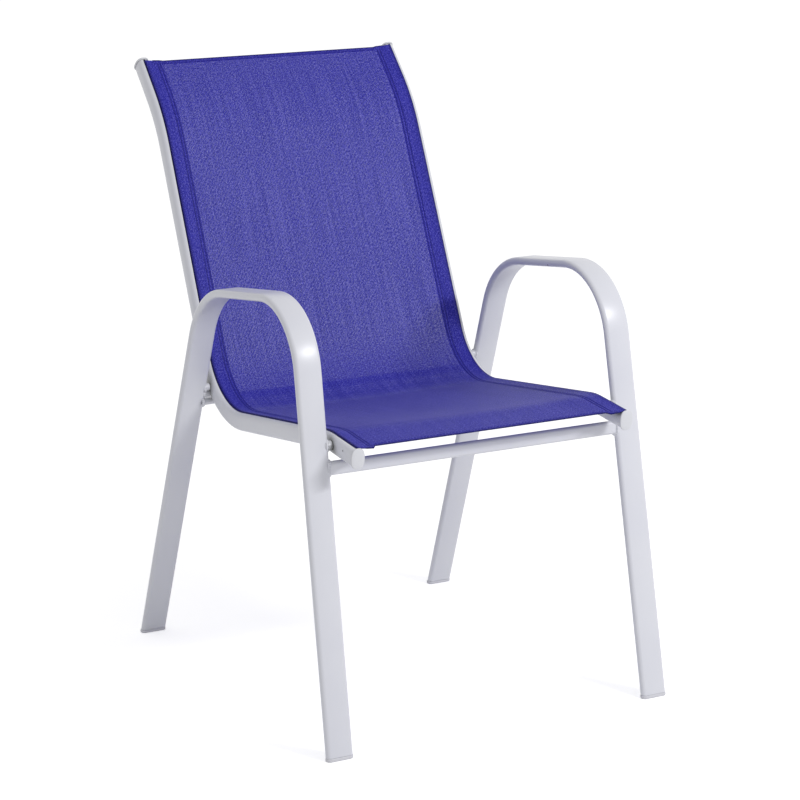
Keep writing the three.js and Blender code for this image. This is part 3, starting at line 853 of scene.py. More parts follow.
# Each look's slot in the assembly, and what makes its material
LOOKS = {
    "coat": ("frame_paint", powder_coat),
    # The coat with painted shade in the narrow gaps beside the legs
    "gap_shaded_coat": ("frame_paint", lambda: powder_coat("gap_shaded_powder_coat", shaded_gaps=True)),
    "cap": (
        "cap_plastic",
        lambda: moulded_plastic("moulded_polypropylene", settings("colours").cap, 0.45),
    ),
    "glide": (
        "glide_plastic",
        lambda: moulded_plastic("moulded_polyethylene", settings("colours").glide, 0.5),
    ),
    "rod": (
        "rod_plastic",
        lambda: moulded_plastic("extruded_pvc_rod", settings("colours").rod, 0.6),
    ),
    "zinc": ("bolt_zinc", zinc_plate),
    "mesh": ("sling_mesh", woven_mesh),
    "thread": ("sling_mesh", sewing_thread),
}
made_materials = {}


def material(look):
    """A look's material, which is made the first time that it is used."""
    if look not in made_materials:
        _, make = LOOKS[look]
        made_materials[look] = make()
    return made_materials[look]


def finish_piece(piece, look, *nodes, crease=CREASE):
    """Shades a piece smooth up to a crease angle in degrees, and gives it its material and its
    place in the assembly."""
    make_active(piece)
    bpy.ops.object.shade_smooth_by_angle(angle=math.radians(crease))
    piece.data.materials.clear()
    piece.data.materials.append(material(look))
    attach(piece, "root")
    if nodes:
        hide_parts(*nodes)


# Frame pieces

def loop_blank(name):
    """The side loop's outer skin about x = 0, with open ends on the floor."""
    s = settings("loops")
    route = loop_route()
    blank = add_flat_oval(name, s.leg_width, s.leg_thickness, s.round_facets)
    stand_on_route(blank, *route.at(0))
    run_along(blank, route, degrees_per_step=3.5)
    return blank


def close_cut_rings(piece):
    """Bridges the outer and inner edges that a level cut leaves at the front and rear foot."""
    for front in (True, False):
        edit(piece)
        bpy.ops.mesh.select_mode(type="EDGE")
        bpy.ops.mesh.select_non_manifold()
        mesh = bmesh.from_edit_mesh(piece.data)
        for edge in mesh.edges:
            if edge.select and (edge.verts[0].co.y < 0) != front:
                edge.select_set(False)
        bmesh.update_edit_mesh(piece.data)
        bpy.ops.mesh.bridge_edge_loops()
    deselect_all()


class CHAIR_OT_side_loops(Operator):
    """Model the two bent side loops"""

    bl_idname = "chair.side_loops"
    bl_label = "Side Loops"

    def execute(self, context):
        blank = loop_blank("side_loop_blank")
        hollow(blank, settings("loops").wall)
        cut_level(blank, settings("glides").height + settings("joints").play)
        close_cut_rings(blank)
        for name, side in SIDES.items():
            loop = duplicate(blank, f"side_loop_{name}", loop_lean(side))
            finish_piece(loop, "coat", f"side_frame_{name}")
        remove(blank)
        return {"FINISHED"}


class CHAIR_OT_foot_glides(Operator):
    """Model the four foot glides"""

    bl_idname = "chair.foot_glides"
    bl_label = "Foot Glides"

    def execute(self, context):
        g = settings("glides")
        s = settings("loops")
        room = 2 * (s.wall + settings("joints").play)
        route = loop_route()
        for end, distance in (("front", 0), ("rear", route.length)):
            place, heading = route.at(distance)
            upright = abs(math.sin(heading))
            back = math.cos(heading) / math.sin(heading)
            thickness = s.leg_thickness / upright + 2 * g.lip
            pad = add_flat_oval("pad", s.leg_width + 2 * g.lip, thickness, s.round_facets, "NGON")
            thicken(pad, (0, 0, g.height))
            round_edges(pad, g.edge, segments=4)
            thickness = (s.leg_thickness - room) / upright
            plug = add_flat_oval("plug", s.leg_width - room, thickness, s.round_facets, "NGON")
            rise = g.height / 2 + g.plug
            thicken(plug, (0, back * rise, rise))
            move(plug, 0, 0, g.height / 2)
            join_on(pad, plug)
            move(pad, 0, place.x + back * g.height / 2, 0)
            face_outwards(pad)
            for name, side in SIDES.items():
                glide = duplicate(pad, f"glide_{end}_{name}", loop_lean(side))
                finish_piece(glide, "glide", f"foot_glide_{end}_{name}")
            remove(pad)
        return {"FINISHED"}


def rail_oval(name, width, depth, fill="NOTHING"):
    """The rails' squared-off oval, wide along x."""
    s = settings("rails")
    oval = add_circle(name, s.facets, 1.0, fill)
    for vertex in oval.data.vertices:
        corner = abs(vertex.co.x) ** s.squareness + abs(vertex.co.y) ** s.squareness
        vertex.co *= corner ** (-1 / s.squareness)
    oval.scale = (width / 2, depth / 2, 1)
    bake_place(oval)
    return oval


def rail_blank():
    """A rail about x = 0: a slotted tube on its route."""
    s = settings("rails")
    route = rail_route()
    blank = rail_oval("rail_blank", s.width, s.depth)
    edit(blank)
    pick(blank, lambda place: place.y < 0 and abs(place.x) < s.slot / 2)
    bpy.ops.mesh.delete(type="VERT")
    deselect_all()
    in_front = [vertex for vertex in blank.data.vertices if vertex.co.y < 0]
    level = 1 - (s.slot / s.width) ** s.squareness
    for lip in sorted(in_front, key=lambda vertex: abs(vertex.co.x))[:2]:
        lip.co.x = math.copysign(s.slot / 2, lip.co.x)
        lip.co.y = -s.depth / 2 * level ** (1 / s.squareness)
    stand_on_route(blank, *route.at(0))
    run_along(blank, route, degrees_per_step=2.5)
    hollow(blank, s.wall)
    round_edges(blank, s.lip_round, sharper_than=40)
    return blank


class CHAIR_OT_sling_rails(Operator):
    """Model the two slotted rails"""

    bl_idname = "chair.sling_rails"
    bl_label = "Sling Rails"

    def execute(self, context):
        s = settings("rails")
        blank = rail_blank()
        bolt_hole = settings("joints").bolt / 2 + settings("joints").play
        vent = rail_route().point(s.vent_place, 0, s.vent_rise)
        for name, side in SIDES.items():
            rail = duplicate(blank, f"rail_{name}", rail_lean(side))
            for end in ENDS:
                at = centre_of(f"rail_bolt_{end}_{name}")
                drilled = (at.x - s.width, at.x + s.width, at)
                cut_away(rail, add_rod("drill", bolt_hole, *drilled, facets=24))
            middle_x = side * rail_x(vent.z)
            drilled = (middle_x, middle_x + side * s.width, vent)
            cut_away(rail, add_rod("vent_drill", s.vent / 2, *drilled, facets=12))
            # The rails get the coat with painted shade in the gaps beside the legs
            finish_piece(rail, "gap_shaded_coat", f"sling_rail_{name}")
        remove(blank)
        return {"FINISHED"}


def rail_cap_blank():
    """A rail's end cap on the plane of x and y: its flange faces +z, its plug hangs below."""
    s = settings("rails")
    sling = settings("sling")
    play = settings("joints").play
    cap = rail_oval("cap_blank", s.width + 2 * s.cap_lip, s.depth + 2 * s.cap_lip, "NGON")
    thicken(cap, (0, 0, s.cap_thickness - s.cap_dome))
    round_edges(cap, s.cap_edge, segments=4)
    edit(cap)
    pick(cap, lambda place: place.z > s.cap_thickness - s.cap_dome - TOUCHING, "FACE")
    # Each ring of the dome rises less than the one round it
    for rise in (0.55, 0.3, 0.15):
        bpy.ops.mesh.inset(thickness=s.cap_ring)
        bpy.ops.transform.translate(value=(0, 0, s.cap_dome * rise))
    room = 2 * (s.wall + 2 * play)
    plug = rail_oval("cap_plug", s.width - room, s.depth - room, "NGON")
    # The plug leaves the sling's pocket its room
    pocket_foot = sling.rod_level - sling.pocket - sling.thickness
    for vertex in plug.data.vertices:
        vertex.co.y = max(vertex.co.y, -pocket_foot)
    thicken(plug, (0, 0, s.cap_plug + s.cap_thickness / 2))
    move(plug, 0, 0, -s.cap_plug)
    join_on(cap, plug)
    move(cap, 0, 0, play)
    return cap


class CHAIR_OT_rail_caps(Operator):
    """Model the caps on the rails' ends"""

    bl_idname = "chair.rail_caps"
    bl_label = "Rail Caps"

    def execute(self, context):
        route = rail_route()
        blank = rail_cap_blank()
        for end, distance, outward in (("front", 0, -1), ("top", route.length, 1)):
            cap = duplicate(blank, "cap", Matrix.Diagonal((1, 1, outward, 1)))
            stand_on_route(cap, *route.at(distance))
            face_outwards(cap)
            for name, side in SIDES.items():
                fitted = duplicate(cap, f"cap_{end}_{name}", rail_lean(side))
                finish_piece(fitted, "cap", f"rail_{end}_cap_{name}")
            remove(cap)
        remove(blank)
        return {"FINISHED"}


# Crossbars, welds, spacers and bolts

def turn_across(width_y, width_z):
    """Turns a flat oval that is wide along x into the plane of y and z, wide the right way."""
    turn = Matrix.Rotation(math.pi / 2, 4, "Y")
    if width_y > width_z:
        turn = turn @ Matrix.Rotation(math.pi / 2, 4, "Z")
    return turn


def bar_sizes(end):
    """A crossbar's size along y and z: on edge in front, laid flat behind."""
    s = settings("joints")
    if end == "front":
        return s.bar_thickness, s.bar_width
    return s.bar_width, s.bar_thickness


def leg_cutter(side):
    """A side loop as one closed solid, for coping what meets it."""
    cutter = loop_blank("leg_cutter")
    edit_all(cutter, "EDGE")
    bpy.ops.mesh.region_to_loop()
    bpy.ops.mesh.edge_face_add()
    face_outwards(cutter)
    cutter.data.transform(loop_lean(side))
    return cutter


class CHAIR_OT_crossbars(Operator):
    """Model the two crossbars with their coped ends"""

    bl_idname = "chair.crossbars"
    bl_label = "Crossbars"

    def execute(self, context):
        s = settings("joints")
        cutters = [leg_cutter(side) for side in SIDES.values()]
        for end in ENDS:
            middle = centre_of(f"crossbar_{end}")
            reach = leg_inner_x(middle.z) + s.bar_bite
            bar = add_flat_oval(f"bar_{end}", s.bar_width, s.bar_thickness, s.bar_facets)
            bar.data.transform(turn_across(*bar_sizes(end)))
            move(bar, -reach, middle.y, middle.z)
            edit_all(bar, "EDGE")
            bpy.ops.mesh.extrude_edges_move(TRANSFORM_OT_translate={"value": (2 * reach, 0, 0)})
            face_outwards(bar)
            hollow(bar, s.bar_wall)
            for cutter in cutters:
                combine(bar, cutter)
            finish_piece(bar, "coat", f"crossbar_{end}")
        for cutter in cutters:
            remove(cutter)
        return {"FINISHED"}


def bead_ring(name, width_y, width_z, radius):
    """A weld's rippled bead round a flat oval, in the plane of y and z about the origin."""
    s = settings("joints")
    core_radius = min(width_y, width_z) / 2
    straight = abs(width_y - width_z) / 2
    steps_per_ripple = 4
    quarter = math.ceil(steps_per_ripple * math.pi * core_radius / 2 / s.ripple)
    ring = add_primitive(
        "torus",
        name,
        major_segments=4 * quarter,
        minor_segments=12,
        major_radius=core_radius,
        minor_radius=radius,
        rotation=(0, 0, math.pi / 4 / quarter),
    )
    if straight > 0:
        pull_apart(ring, straight)
        edit(ring)
        pick(ring, lambda place: abs(place.x) < TOUCHING, "EDGE")
        bpy.ops.mesh.subdivide(number_cuts=round(steps_per_ripple * 2 * straight / s.ripple))
        deselect_all()
    for vertex in ring.data.vertices:
        stem = min(max(vertex.co.x, -straight), straight)
        beyond = vertex.co.x - stem
        outward = Vector((beyond, vertex.co.y, 0)).normalized()
        core = Vector((stem, 0, 0)) + outward * core_radius
        travelled = stem + core_radius * math.atan2(beyond, abs(vertex.co.y))
        swell = 1 + s.ripple_height * math.cos(2 * math.pi * travelled / s.ripple)
        vertex.co = core + (vertex.co - core) * swell
    ring.data.transform(turn_across(width_y, width_z))
    face_outwards(ring)
    return ring


def drape_on_leg(bead, side, middle):
    """Sets a bead about the origin against the leg's inner edge, and bends it round that edge."""
    s = settings("loops")
    radius = s.leg_thickness / 2
    slope = math.sin(loop_route().at(0)[1])
    inner = leg_inner_x(middle.z)
    for vertex in bead.data.vertices:
        aside = min(abs(vertex.co.y) * slope, radius)
        back = radius - math.sqrt(radius**2 - aside**2)
        vertex.co.x += side * (inner + min(back, settings("joints").bar_bite))
    move(bead, 0, middle.y, middle.z)


class CHAIR_OT_welds(Operator):
    """Model the weld beads round the crossbars' ends"""

    bl_idname = "chair.welds"
    bl_label = "Weld Beads"

    def execute(self, context):
        for end in ENDS:
            middle = centre_of(f"crossbar_{end}")
            blank = bead_ring("bead_blank", *bar_sizes(end), settings("joints").weld)
            for name, side in SIDES.items():
                bead = duplicate(blank, f"weld_{end}_{name}", Matrix.Identity(4))
                drape_on_leg(bead, side, middle)
                finish_piece(bead, "coat", f"weld_bead_{end}_{name}", crease=SOFT_CREASE)
            remove(blank)
        return {"FINISHED"}


class CHAIR_OT_spacers(Operator):
    """Model the spacers that hold the rails off the legs"""

    bl_idname = "chair.spacers"
    bl_label = "Rail Spacers"

    def execute(self, context):
        for name, side in SIDES.items():
            cutter = leg_cutter(side)
            for end in ENDS:
                self.add_spacer(name, side, end, cutter)
            remove(cutter)
        return {"FINISHED"}

    @staticmethod
    def add_spacer(name, side, end, cutter):
        """A spacer with its bore and the bead that welds it to the leg."""
        s = settings("joints")
        thickness = settings("loops").leg_thickness
        joint = centre_of(f"rail_bolt_{end}_{name}")
        start = side * (rail_x(joint.z) + settings("rails").width / 2 + s.play)
        inside_leg = side * (leg_inner_x(joint.z) + thickness / 2)
        across = s.spacer if end == "front" else s.rear_spacer
        middle = joint - Vector((0, 0, 0 if end == "front" else s.rear_drop))
        shape = (across / 2, start, inside_leg, middle)
        spacer = add_rod(f"spacer_{end}_{name}", *shape, facets=40)
        round_edges(spacer, s.spacer_edge)
        if end == "rear":
            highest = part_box(f"rail_spacer_rear_{name}")[1]
            place = Vector((0, highest.y - s.lug / 2, joint.z - s.lug_drop))
            shape = (s.lug / 2, start - side * s.lug_reach, inside_leg, place)
            lug = add_rod("lug", *shape, facets=28)
            round_edges(lug, s.lug_edge, segments=3)
            join_on(spacer, lug)
        drilled = (start - side * thickness, inside_leg + side * thickness, joint)
        cut_away(spacer, add_rod("bore", s.bolt / 2 + s.play, *drilled, facets=24))
        combine(spacer, cutter)
        # The front spacers get the coat with painted shade in the gaps beside the legs
        look = "gap_shaded_coat" if end == "front" else "coat"
        finish_piece(spacer, look, f"rail_spacer_{end}_{name}")
        weld = bead_ring(f"spacer_weld_{end}_{name}", across, across, s.spacer_weld * s.weld)
        drape_on_leg(weld, side, middle)
        finish_piece(weld, "coat", crease=SOFT_CREASE)


def bolt_blank(shank):
    """A button-head bolt along z, its head below z = 0."""
    s = settings("joints")
    dome = (s.head**2 / 4 + s.head_height**2) / (2 * s.head_height)
    bolt = add_primitive("uv_sphere", "bolt", segments=32, ring_count=24, radius=1.0)
    bolt.data.transform(Matrix.Scale(dome, 4))
    bolt.data.transform(Matrix.Translation((0, 0, dome - s.head_height)))
    cut_level(bolt, 0, drop="above", fill=True)
    face_outwards(bolt)
    round_edges(bolt, s.head_edge)
    # The shaft starts a little inside the head, so that they join
    overlap = 0.2 * MM
    shaft = add_primitive("cylinder", "shaft", vertices=24, radius=s.bolt / 2, depth=2 * shank)
    cut_level(shaft, -overlap, drop="below", fill=True)
    face_outwards(shaft)
    round_edges(shaft, s.bolt_edge)
    join_on(bolt, shaft)
    key = add_primitive(
        "cylinder",
        "key",
        vertices=6,
        radius=s.socket / math.sqrt(3),
        depth=2 * s.socket_depth,
        location=(0, 0, -s.head_height),
    )
    cut_away(bolt, key)
    return bolt


class CHAIR_OT_bolts(Operator):
    """Model the bolts that hold the rails"""

    bl_idname = "chair.bolts"
    bl_label = "Rail Bolts"

    def execute(self, context):
        play = settings("joints").play
        blanks = {}
        for end in ENDS:
            head = centre_of(f"rail_bolt_{end}_left")
            head.x = rail_x(head.z) - settings("rails").width / 2 - play
            blanks[end] = head, bolt_blank(leg_inner_x(head.z) - 2 * play - head.x)
        for name, side in SIDES.items():
            turn = Matrix.Rotation(side * math.pi / 2, 4, "Y")
            for end, (head, blank) in blanks.items():
                place = Matrix.Translation((side * head.x, head.y, head.z))
                bolt = duplicate(blank, f"bolt_{end}_{name}", place @ turn)
                finish_piece(bolt, "zinc", f"rail_bolt_{end}_{name}")
        for _, blank in blanks.values():
            remove(blank)
        return {"FINISHED"}


class CHAIR_OT_inner_pieces(Operator):
    """Give the rods inside the sling's pockets their material"""

    bl_idname = "chair.inner_pieces"
    bl_label = "Keder Rods"

    def execute(self, context):
        for name in SIDES:
            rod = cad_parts[f"keder_rod_{name}"]
            rod.data.materials.clear()
            rod.data.materials.append(material("rod"))
        return {"FINISHED"}


# The sling

def ease(value):
    """A smooth step from 0 to 1."""
    value = min(max(value, 0.0), 1.0)
    return value * value * (3 - 2 * value)


def arc(centre_x, centre_y, radius, start, sweep, steps):
    """Points round an arc, with both its ends."""
    turns = [start + sweep * index / steps for index in range(steps + 1)]
    return [
        (centre_x + radius * math.cos(turn), centre_y + radius * math.sin(turn)) for turn in turns
    ]


class SlingForm:
    """Where each point of the sling lies, from its place on the flat cloth."""

    # Constants, because a setting keeps single precision only: where a hem's lower layer turns
    # down, from the slot, half the width over which the sheet steps back, and how far a seam's
    # groove reaches to each side
    turn_in = 1.6 * MM
    step_blend = 1.5 * MM
    seam_reach = 1.2 * MM

    def __init__(self):
        s = settings("sling")
        self.s = s
        self.route = rail_route()
        self.rail_floor_x = rail_floor_x()
        self.rail_lean = settings("rails").lean
        self.end = self.route.length - s.top_inset
        self.half = self.rail_x(0)
        self.free = self.half - s.hem
        self.seams = [self.free + s.seam_inset, self.free + s.seam_inset + s.seam_gap]
        crook_y = settings("rails").crook_y + settings("loops").middle_y
        # The seat ends at the first of these steps that reaches the crook
        count_of_steps = 200
        steps = [self.end * index / count_of_steps for index in range(count_of_steps + 1)]
        self.seat = next(step for step in steps if self.route.at(step)[0].x >= crook_y)

    def rail_x(self, distance):
        """The rails' distance from the middle, at a distance along them."""
        return self.rail_floor_x - self.rail_lean * self.route.at(distance)[0].y

    def drop(self, across, distance):
        """How far the top layer lies below its height over the slots."""
        s = self.s
        inward = min((self.half - abs(across)) / s.hem, 1.0)
        shoulder = s.shoulder * (1 - (1 - inward) ** 2)
        if distance < self.seat:
            sag = s.seat_sag * math.sin(math.pi * distance / self.seat)
        else:
            run = (distance - self.seat) / (self.end - self.seat)
            sag = s.back_sag * math.sin(math.pi * min(run, 1.0))
        middle = max(1 - (across / self.free) ** 2, 0.0)
        return shoulder + sag * middle + s.seam_groove * self.seam_share(across)

    def seam_share(self, across):
        """How much a point lies in the groove of a row of stitches."""
        away = min(abs(seam - abs(across)) for seam in self.seams)
        return 1 - ease(away / self.seam_reach)

    def point(self, distance, across, offset):
        """A point at the reference width, moved in or out as the rails lean."""
        place = self.route.point(distance, across, offset)
        place.x *= self.rail_x(distance) / self.half
        return place

    def top(self, across, distance, lift=0.0):
        """A point on the top layer's middle surface."""
        offset = self.s.rest - self.drop(across, distance) + lift
        return self.point(distance, across, offset)

    def ends(self, across):
        """Where a column of the cloth starts and ends along the rails."""
        blend = self.step_blend
        into = ease((self.free + blend - abs(across)) / (2 * blend))
        return self.s.front_step * into, self.end - self.s.top_step * into

    def hem_section(self):
        """One side of the cloth's section, from its cut edge: (across, offset, drops). The hem
        runs in under the top layer, down into the slot, round its rod and back over the top."""
        s = self.s
        under = s.rest - s.layer_step
        columns = 10
        inner = self.half - self.turn_in
        width = s.hem - self.turn_in
        flat = [(inner - width * (1 - index / columns), under) for index in range(columns + 1)]
        # The lower layer bends down over the slot's lip in two steps, the second one steep
        slot = self.half - s.neck
        lip_width = 0.35 * MM
        lip_drops = (0.15 * MM, 0.9 * MM)
        lip = [(slot - lip_width, under - lip_drops[0]), (slot, under - lip_drops[1])]
        opening = math.acos(s.neck / s.pocket)
        pocket = arc(
            self.half, s.rod_level, s.pocket, math.pi - opening, math.pi + 2 * opening, steps=16
        )
        fold_across = self.half + s.neck - s.fold
        fold = arc(fold_across, s.rest - s.fold, s.fold, 0, math.pi / 2, steps=4)
        # The top layer has its columns where it steps back, beside each seam and out to the slot
        tops = [self.free - self.step_blend, self.free]
        reach = self.seam_reach
        tops += [seam + reach * way for seam in self.seams for way in (-1, -0.5, 0, 0.5, 1)]
        outer_columns = (10, 14, 18, 22)
        tops += [self.free + column * MM for column in outer_columns]
        section = [(*spot, True) for spot in flat]
        section += [(*spot, False) for spot in lip + pocket + fold]
        section += [(across, s.rest, True) for across in sorted(tops, reverse=True)]
        return section

    def section(self):
        """The cloth's whole section from one cut edge to the other, as (across, offset, drops,
        cloth), where cloth is the place on the flat cloth."""
        left = self.hem_section()
        right = [(-across, offset, drops) for across, offset, drops in reversed(left)]
        columns = 48
        middle = [
            (self.free * (1 - 2 * index / columns), self.s.rest, True)
            for index in range(1, columns)
        ]
        points = left + middle + right
        cloth = [0.0]
        for before, after in zip(points, points[1:]):
            cloth.append(cloth[-1] + math.hypot(after[0] - before[0], after[1] - before[1]))
        return [(*point, run - cloth[-1] / 2) for point, run in zip(points, cloth)]


def mesh_piece(name, rows, thickness, *nodes):
    """A piece of mesh from rows of spots. Each spot gives its place in space, its place on the flat
    cloth, which becomes a UV map, and its share of painted crease shade."""
    width = len(rows[0])
    spots = [spot for row in rows for spot in row]
    corners = [
        row * width + column for row in range(len(rows) - 1) for column in range(width - 1)
    ]
    faces = [(first, first + 1, first + width + 1, first + width) for first in corners]
    piece = add_mesh(name, [place for place, _, _ in spots], faces)
    layer = piece.data.uv_layers.new(name="cloth")
    for corner in piece.data.loops:
        layer.data[corner.index].uv = spots[corner.vertex_index][1]
    crease = piece.data.attributes.new("crease", "FLOAT", "POINT")
    for index, spot in enumerate(spots):
        crease.data[index].value = spot[2]
    apply_modifier(piece, "SOLIDIFY", thickness=thickness, offset=0.0)
    finish_piece(piece, "mesh", *nodes, crease=SOFT_CREASE)


class CHAIR_OT_sling_sheet(Operator):
    """Model the woven sheet with its side hems and rod pockets"""

    bl_idname = "chair.sling_sheet"
    bl_label = "Sling Sheet"

    def execute(self, context):
        form = SlingForm()
        steps = math.ceil(form.end / form.s.row)
        rows = [self.row(form, index / steps) for index in range(steps + 1)]
        mesh_piece("sling_sheet", rows, form.s.thickness, "sling_fabric")
        return {"FINISHED"}

    @staticmethod
    def row(form, run):
        """The spots across the cloth at a share of its length."""
        # Painted shade darkens the mesh in the fold round the pockets, and less in the seam grooves;
        # the yarns also bunch up there
        fold_shade_start = 1.8 * MM
        fold_shade_blend = 1.6 * MM
        seam_shade = 0.7
        spots = []
        for across, offset, drops, cloth in form.section():
            start, end = form.ends(across) if drops else (0.0, form.end)
            distance = start + (end - start) * run
            drop = form.drop(across, distance) if drops else 0.0
            fold_shade = ease((abs(across) - form.half + fold_shade_start) / fold_shade_blend)
            crease = max(fold_shade, seam_shade * form.seam_share(across))
            place = form.point(distance, across, offset - drop)
            spots.append((place, (cloth, distance), crease))
        return spots


class CHAIR_OT_edge_hems(Operator):
    """Model the turned hems along the sling's front and top edges"""

    bl_idname = "chair.edge_hems"
    bl_label = "Edge Hems"

    def execute(self, context):
        form = SlingForm()
        s = form.s
        fold = 0.5 * s.layer_step + s.edge_round
        turned = arc(0, -fold, fold, -math.pi / 2, -math.pi, steps=8)
        under = [(s.edge_hem, -2 * fold), (0.5 * s.edge_hem, -2 * fold)]
        over = [(0.5 * s.edge_hem, 0.0), (s.edge_hem, 0.0)]
        for name, inward in (("front", 1), ("top", -1)):
            rows = [self.row(form, inward, *spot) for spot in under + turned + over]
            mesh_piece(f"sling_{name}_hem", rows, s.edge_thickness)
        return {"FINISHED"}

    @staticmethod
    def row(form, inward, run_in, lift):
        """The spots across the chair at a place on the hem's turned section."""
        s = form.s
        # A turned hem ends half way over the side hems
        wide = form.free + 0.5 * s.hem
        columns = 72
        # Painted shade darkens the mesh along the hem's turned fold
        crease_reach = 1.2 * MM
        crease = ease(1 - run_in / crease_reach)
        spots = []
        for index in range(columns + 1):
            across = wide * (2 * index / columns - 1)
            start, end = form.ends(across)
            distance = (start if inward > 0 else end) + inward * run_in
            place = form.top(across, distance, lift + 0.5 * s.layer_step)
            spots.append((place, (across, distance + lift), crease))
        return spots


def one_stitch():
    """A lockstitch along x: a short thread that bows up out of the cloth between its holes."""
    s = settings("sling")
    stitch = add_primitive(
        "cylinder",
        "stitch",
        vertices=5,
        radius=s.thread,
        depth=s.stitch_run,
        rotation=(0, math.pi / 2, 0),
    )
    edit(stitch)
    pick(stitch, lambda place: abs(place.x) < TOUCHING, "EDGE")
    bpy.ops.mesh.subdivide(number_cuts=3)
    deselect_all()
    # In thread radii: the middle stands up, and the ends dip into the holes
    rise = 0.8
    dip = 1.3
    for vertex in stitch.data.vertices:
        outward = abs(vertex.co.x) / (s.stitch_run / 2)
        vertex.co.z += s.thread * (rise - dip * outward**3)
    face_outwards(stitch)
    return stitch


def stitch_row(name, stitch, spots):
    """A row of copies of a stitch. Each spot gives a stitch's ends and its upward direction."""
    places = []
    faces = []
    for start, end, up in spots:
        along = (end - start).normalized()
        aside = up.cross(along).normalized()
        turn = Matrix((along, aside, along.cross(aside))).transposed()
        first = len(places)
        middle = (start + end) / 2
        places += [middle + turn @ vertex.co for vertex in stitch.data.vertices]
        faces += [[first + corner for corner in face.vertices] for face in stitch.data.polygons]
    finish_piece(add_mesh(name, places, faces), "thread", crease=SOFT_CREASE)


class CHAIR_OT_stitching(Operator):
    """Sew the hems"""

    bl_idname = "chair.stitching"
    bl_label = "Stitching"

    def execute(self, context):
        form = SlingForm()
        stitch = one_stitch()
        for name, side in SIDES.items():
            stitch_row(f"hem_stitching_{name}", stitch, self.side_seams(form, side))
        for name, inward in (("front", 1), ("top", -1)):
            stitch_row(f"edge_stitching_{name}", stitch, self.edge_seam(form, inward))
        remove(stitch)
        self.declare(form)
        return {"FINISHED"}

    @staticmethod
    def spot(form, start, end, layers):
        """One stitch's ends on top of some layers of cloth, and its upward direction."""
        lift = form.s.thickness * layers
        up = form.top(*start, lift=1.0) - form.top(*start)
        return form.top(*start, lift), form.top(*end, lift), up.normalized()

    def side_seams(self, form, side):
        """The two rows of stitches along a side hem."""
        s = form.s
        spots = []
        for seam in form.seams:
            for index in range(math.floor((form.end - 2 * s.seam_end) / s.stitch)):
                begin = s.seam_end + index * s.stitch
                start = (side * seam, begin)
                end = (side * seam, begin + s.stitch_run)
                spots.append(self.spot(form, start, end, layers=0.5))
        return spots

    def edge_seam(self, form, inward):
        """The row of stitches along the front or the top hem."""
        s = form.s
        spots = []
        for index in range(math.floor(2 * form.free / s.stitch)):
            across = -form.free + index * s.stitch
            first, last = form.ends(across)
            distance = (first if inward > 0 else last) + inward * s.edge_seam
            start = (across, distance)
            end = (across + s.stitch_run, distance)
            spots.append(self.spot(form, start, end, layers=1.0))
        return spots

    @staticmethod
    def declare(form):
        """Works out the sheet's section and lists what is sewn on it, and passes neither on."""
        section = form.section()
        sewn_on = ["sling_front_hem", "sling_top_hem", "edge_stitching_front"]
        sewn_on += ["edge_stitching_top", "hem_stitching_left", "hem_stitching_right"]


# Stage

def direction(azimuth, elevation):
    """From the chair towards a place round it: azimuth 0 is straight in front."""
    level = math.cos(elevation)
    return Vector((math.sin(azimuth) * level, -math.cos(azimuth) * level, math.sin(elevation)))


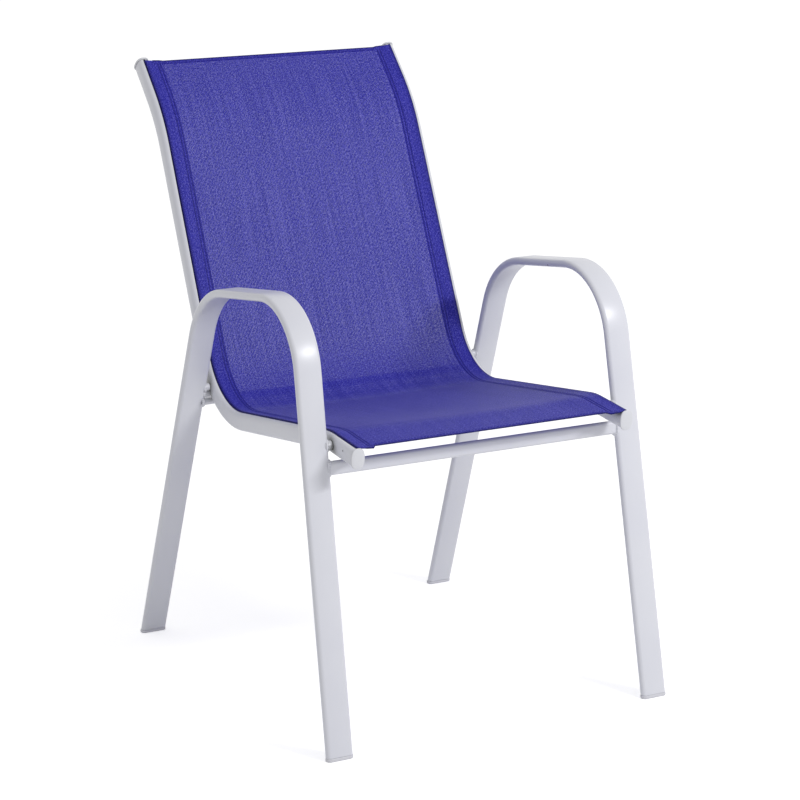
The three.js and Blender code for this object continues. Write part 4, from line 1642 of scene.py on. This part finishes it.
class CHAIR_OT_stage(Operator):
    """Set up the camera, the lights and the floor"""

    bl_idname = "chair.stage"
    bl_label = "Stage"

    def execute(self, context):
        stage = settings("stage")
        target = Vector((0, stage.target_y + settings("loops").middle_y, stage.target_z))
        self.add_camera(stage, target)
        self.add_key(stage, target)
        self.add_sky(stage)
        floor = add_primitive("plane", "studio_floor", size=stage.floor_size)
        floor.data.materials.append(studio_floor())
        context.scene.view_settings.view_transform = "Standard"
        return {"FINISHED"}

    @staticmethod
    def add_camera(stage, target):
        back = direction(stage.azimuth, stage.elevation)
        level = Vector((math.cos(stage.azimuth), math.sin(stage.azimuth), 0))
        rise = back.cross(level)
        right = math.cos(stage.roll) * level + math.sin(stage.roll) * rise
        lens = bpy.data.cameras.new("photograph_camera")
        lens.sensor_width = stage.sensor
        lens.lens = stage.focal_px * stage.sensor / stage.frame_px
        lens.clip_end = 100.0
        camera = bpy.data.objects.new("photograph_camera", lens)
        bpy.context.scene.collection.objects.link(camera)
        place = Matrix((right, back.cross(right), back)).transposed().to_4x4()
        place.translation = target + back * stage.distance
        camera.matrix_world = place
        bpy.context.scene.camera = camera

    @staticmethod
    def add_key(stage, target):
        lamp = bpy.data.lights.new("key_softbox", "AREA")
        lamp.shape = "RECTANGLE"
        lamp.size = stage.key_width
        lamp.size_y = stage.key_height
        lamp.energy = stage.key_power
        key = bpy.data.objects.new("key_softbox", lamp)
        bpy.context.scene.collection.objects.link(key)
        towards = direction(stage.key_azimuth, stage.key_elevation)
        key.location = target + towards * stage.key_distance
        key.rotation_euler = towards.to_track_quat("Z", "Y").to_euler()

    @staticmethod
    def add_sky(stage):
        """Even light for the chair, and plain white for what is seen directly or mirrored."""
        world = bpy.data.worlds.new("studio_white")
        bpy.context.scene.world = world
        world.use_nodes = True
        tree = world.node_tree
        tree.nodes.clear()
        white = (1.0, 1.0, 1.0, 1.0)
        even = add_node(tree, "Background", {"Color": white, "Strength": stage.sky})
        plain = add_node(tree, "Background", {"Color": white, "Strength": 1.0})
        seen = ray_is(tree, "Camera", "Glossy", "Transmission")
        mix = add_node(tree, "MixShader", {0: seen, 1: even, 2: plain})
        add_node(tree, "OutputWorld", {"Surface": mix})


MODELLING = (
    CHAIR_OT_side_loops,
    CHAIR_OT_foot_glides,
    CHAIR_OT_sling_rails,
    CHAIR_OT_rail_caps,
    CHAIR_OT_crossbars,
    CHAIR_OT_welds,
    CHAIR_OT_spacers,
    CHAIR_OT_bolts,
    CHAIR_OT_inner_pieces,
    CHAIR_OT_sling_sheet,
    CHAIR_OT_edge_hems,
    CHAIR_OT_stitching,
    CHAIR_OT_stage,
)


class CHAIR_PT_panel(Panel):
    """Lists the chair's sizes, colours and pieces in the sidebar"""

    bl_label = "Sling Patio Chair"
    bl_idname = "CHAIR_PT_panel"
    bl_space_type = "VIEW_3D"
    bl_region_type = "UI"
    bl_category = "Patio Chair"

    def draw(self, context):
        for name, group in SETTINGS.items():
            box = self.layout.box()
            box.label(text=group.__doc__)
            for prop in group.__annotations__:
                box.prop(getattr(context.scene, name), prop)
        for operator in MODELLING:
            self.layout.operator(operator.bl_idname)


CLASSES = (*SETTINGS.values(), *MODELLING, CHAIR_PT_panel)


def register():
    for cls in CLASSES:
        bpy.utils.register_class(cls)
    for name, group in SETTINGS.items():
        setattr(bpy.types.Scene, name, PointerProperty(type=group))


def unregister():
    for name in SETTINGS:
        delattr(bpy.types.Scene, name)
    for cls in reversed(CLASSES):
        bpy.utils.unregister_class(cls)


def main():
    register()
    for operator in MODELLING:
        name = operator.bl_idname.split(".")[1]
        getattr(bpy.ops.chair, name)()


if __name__ == "__main__":
    main()
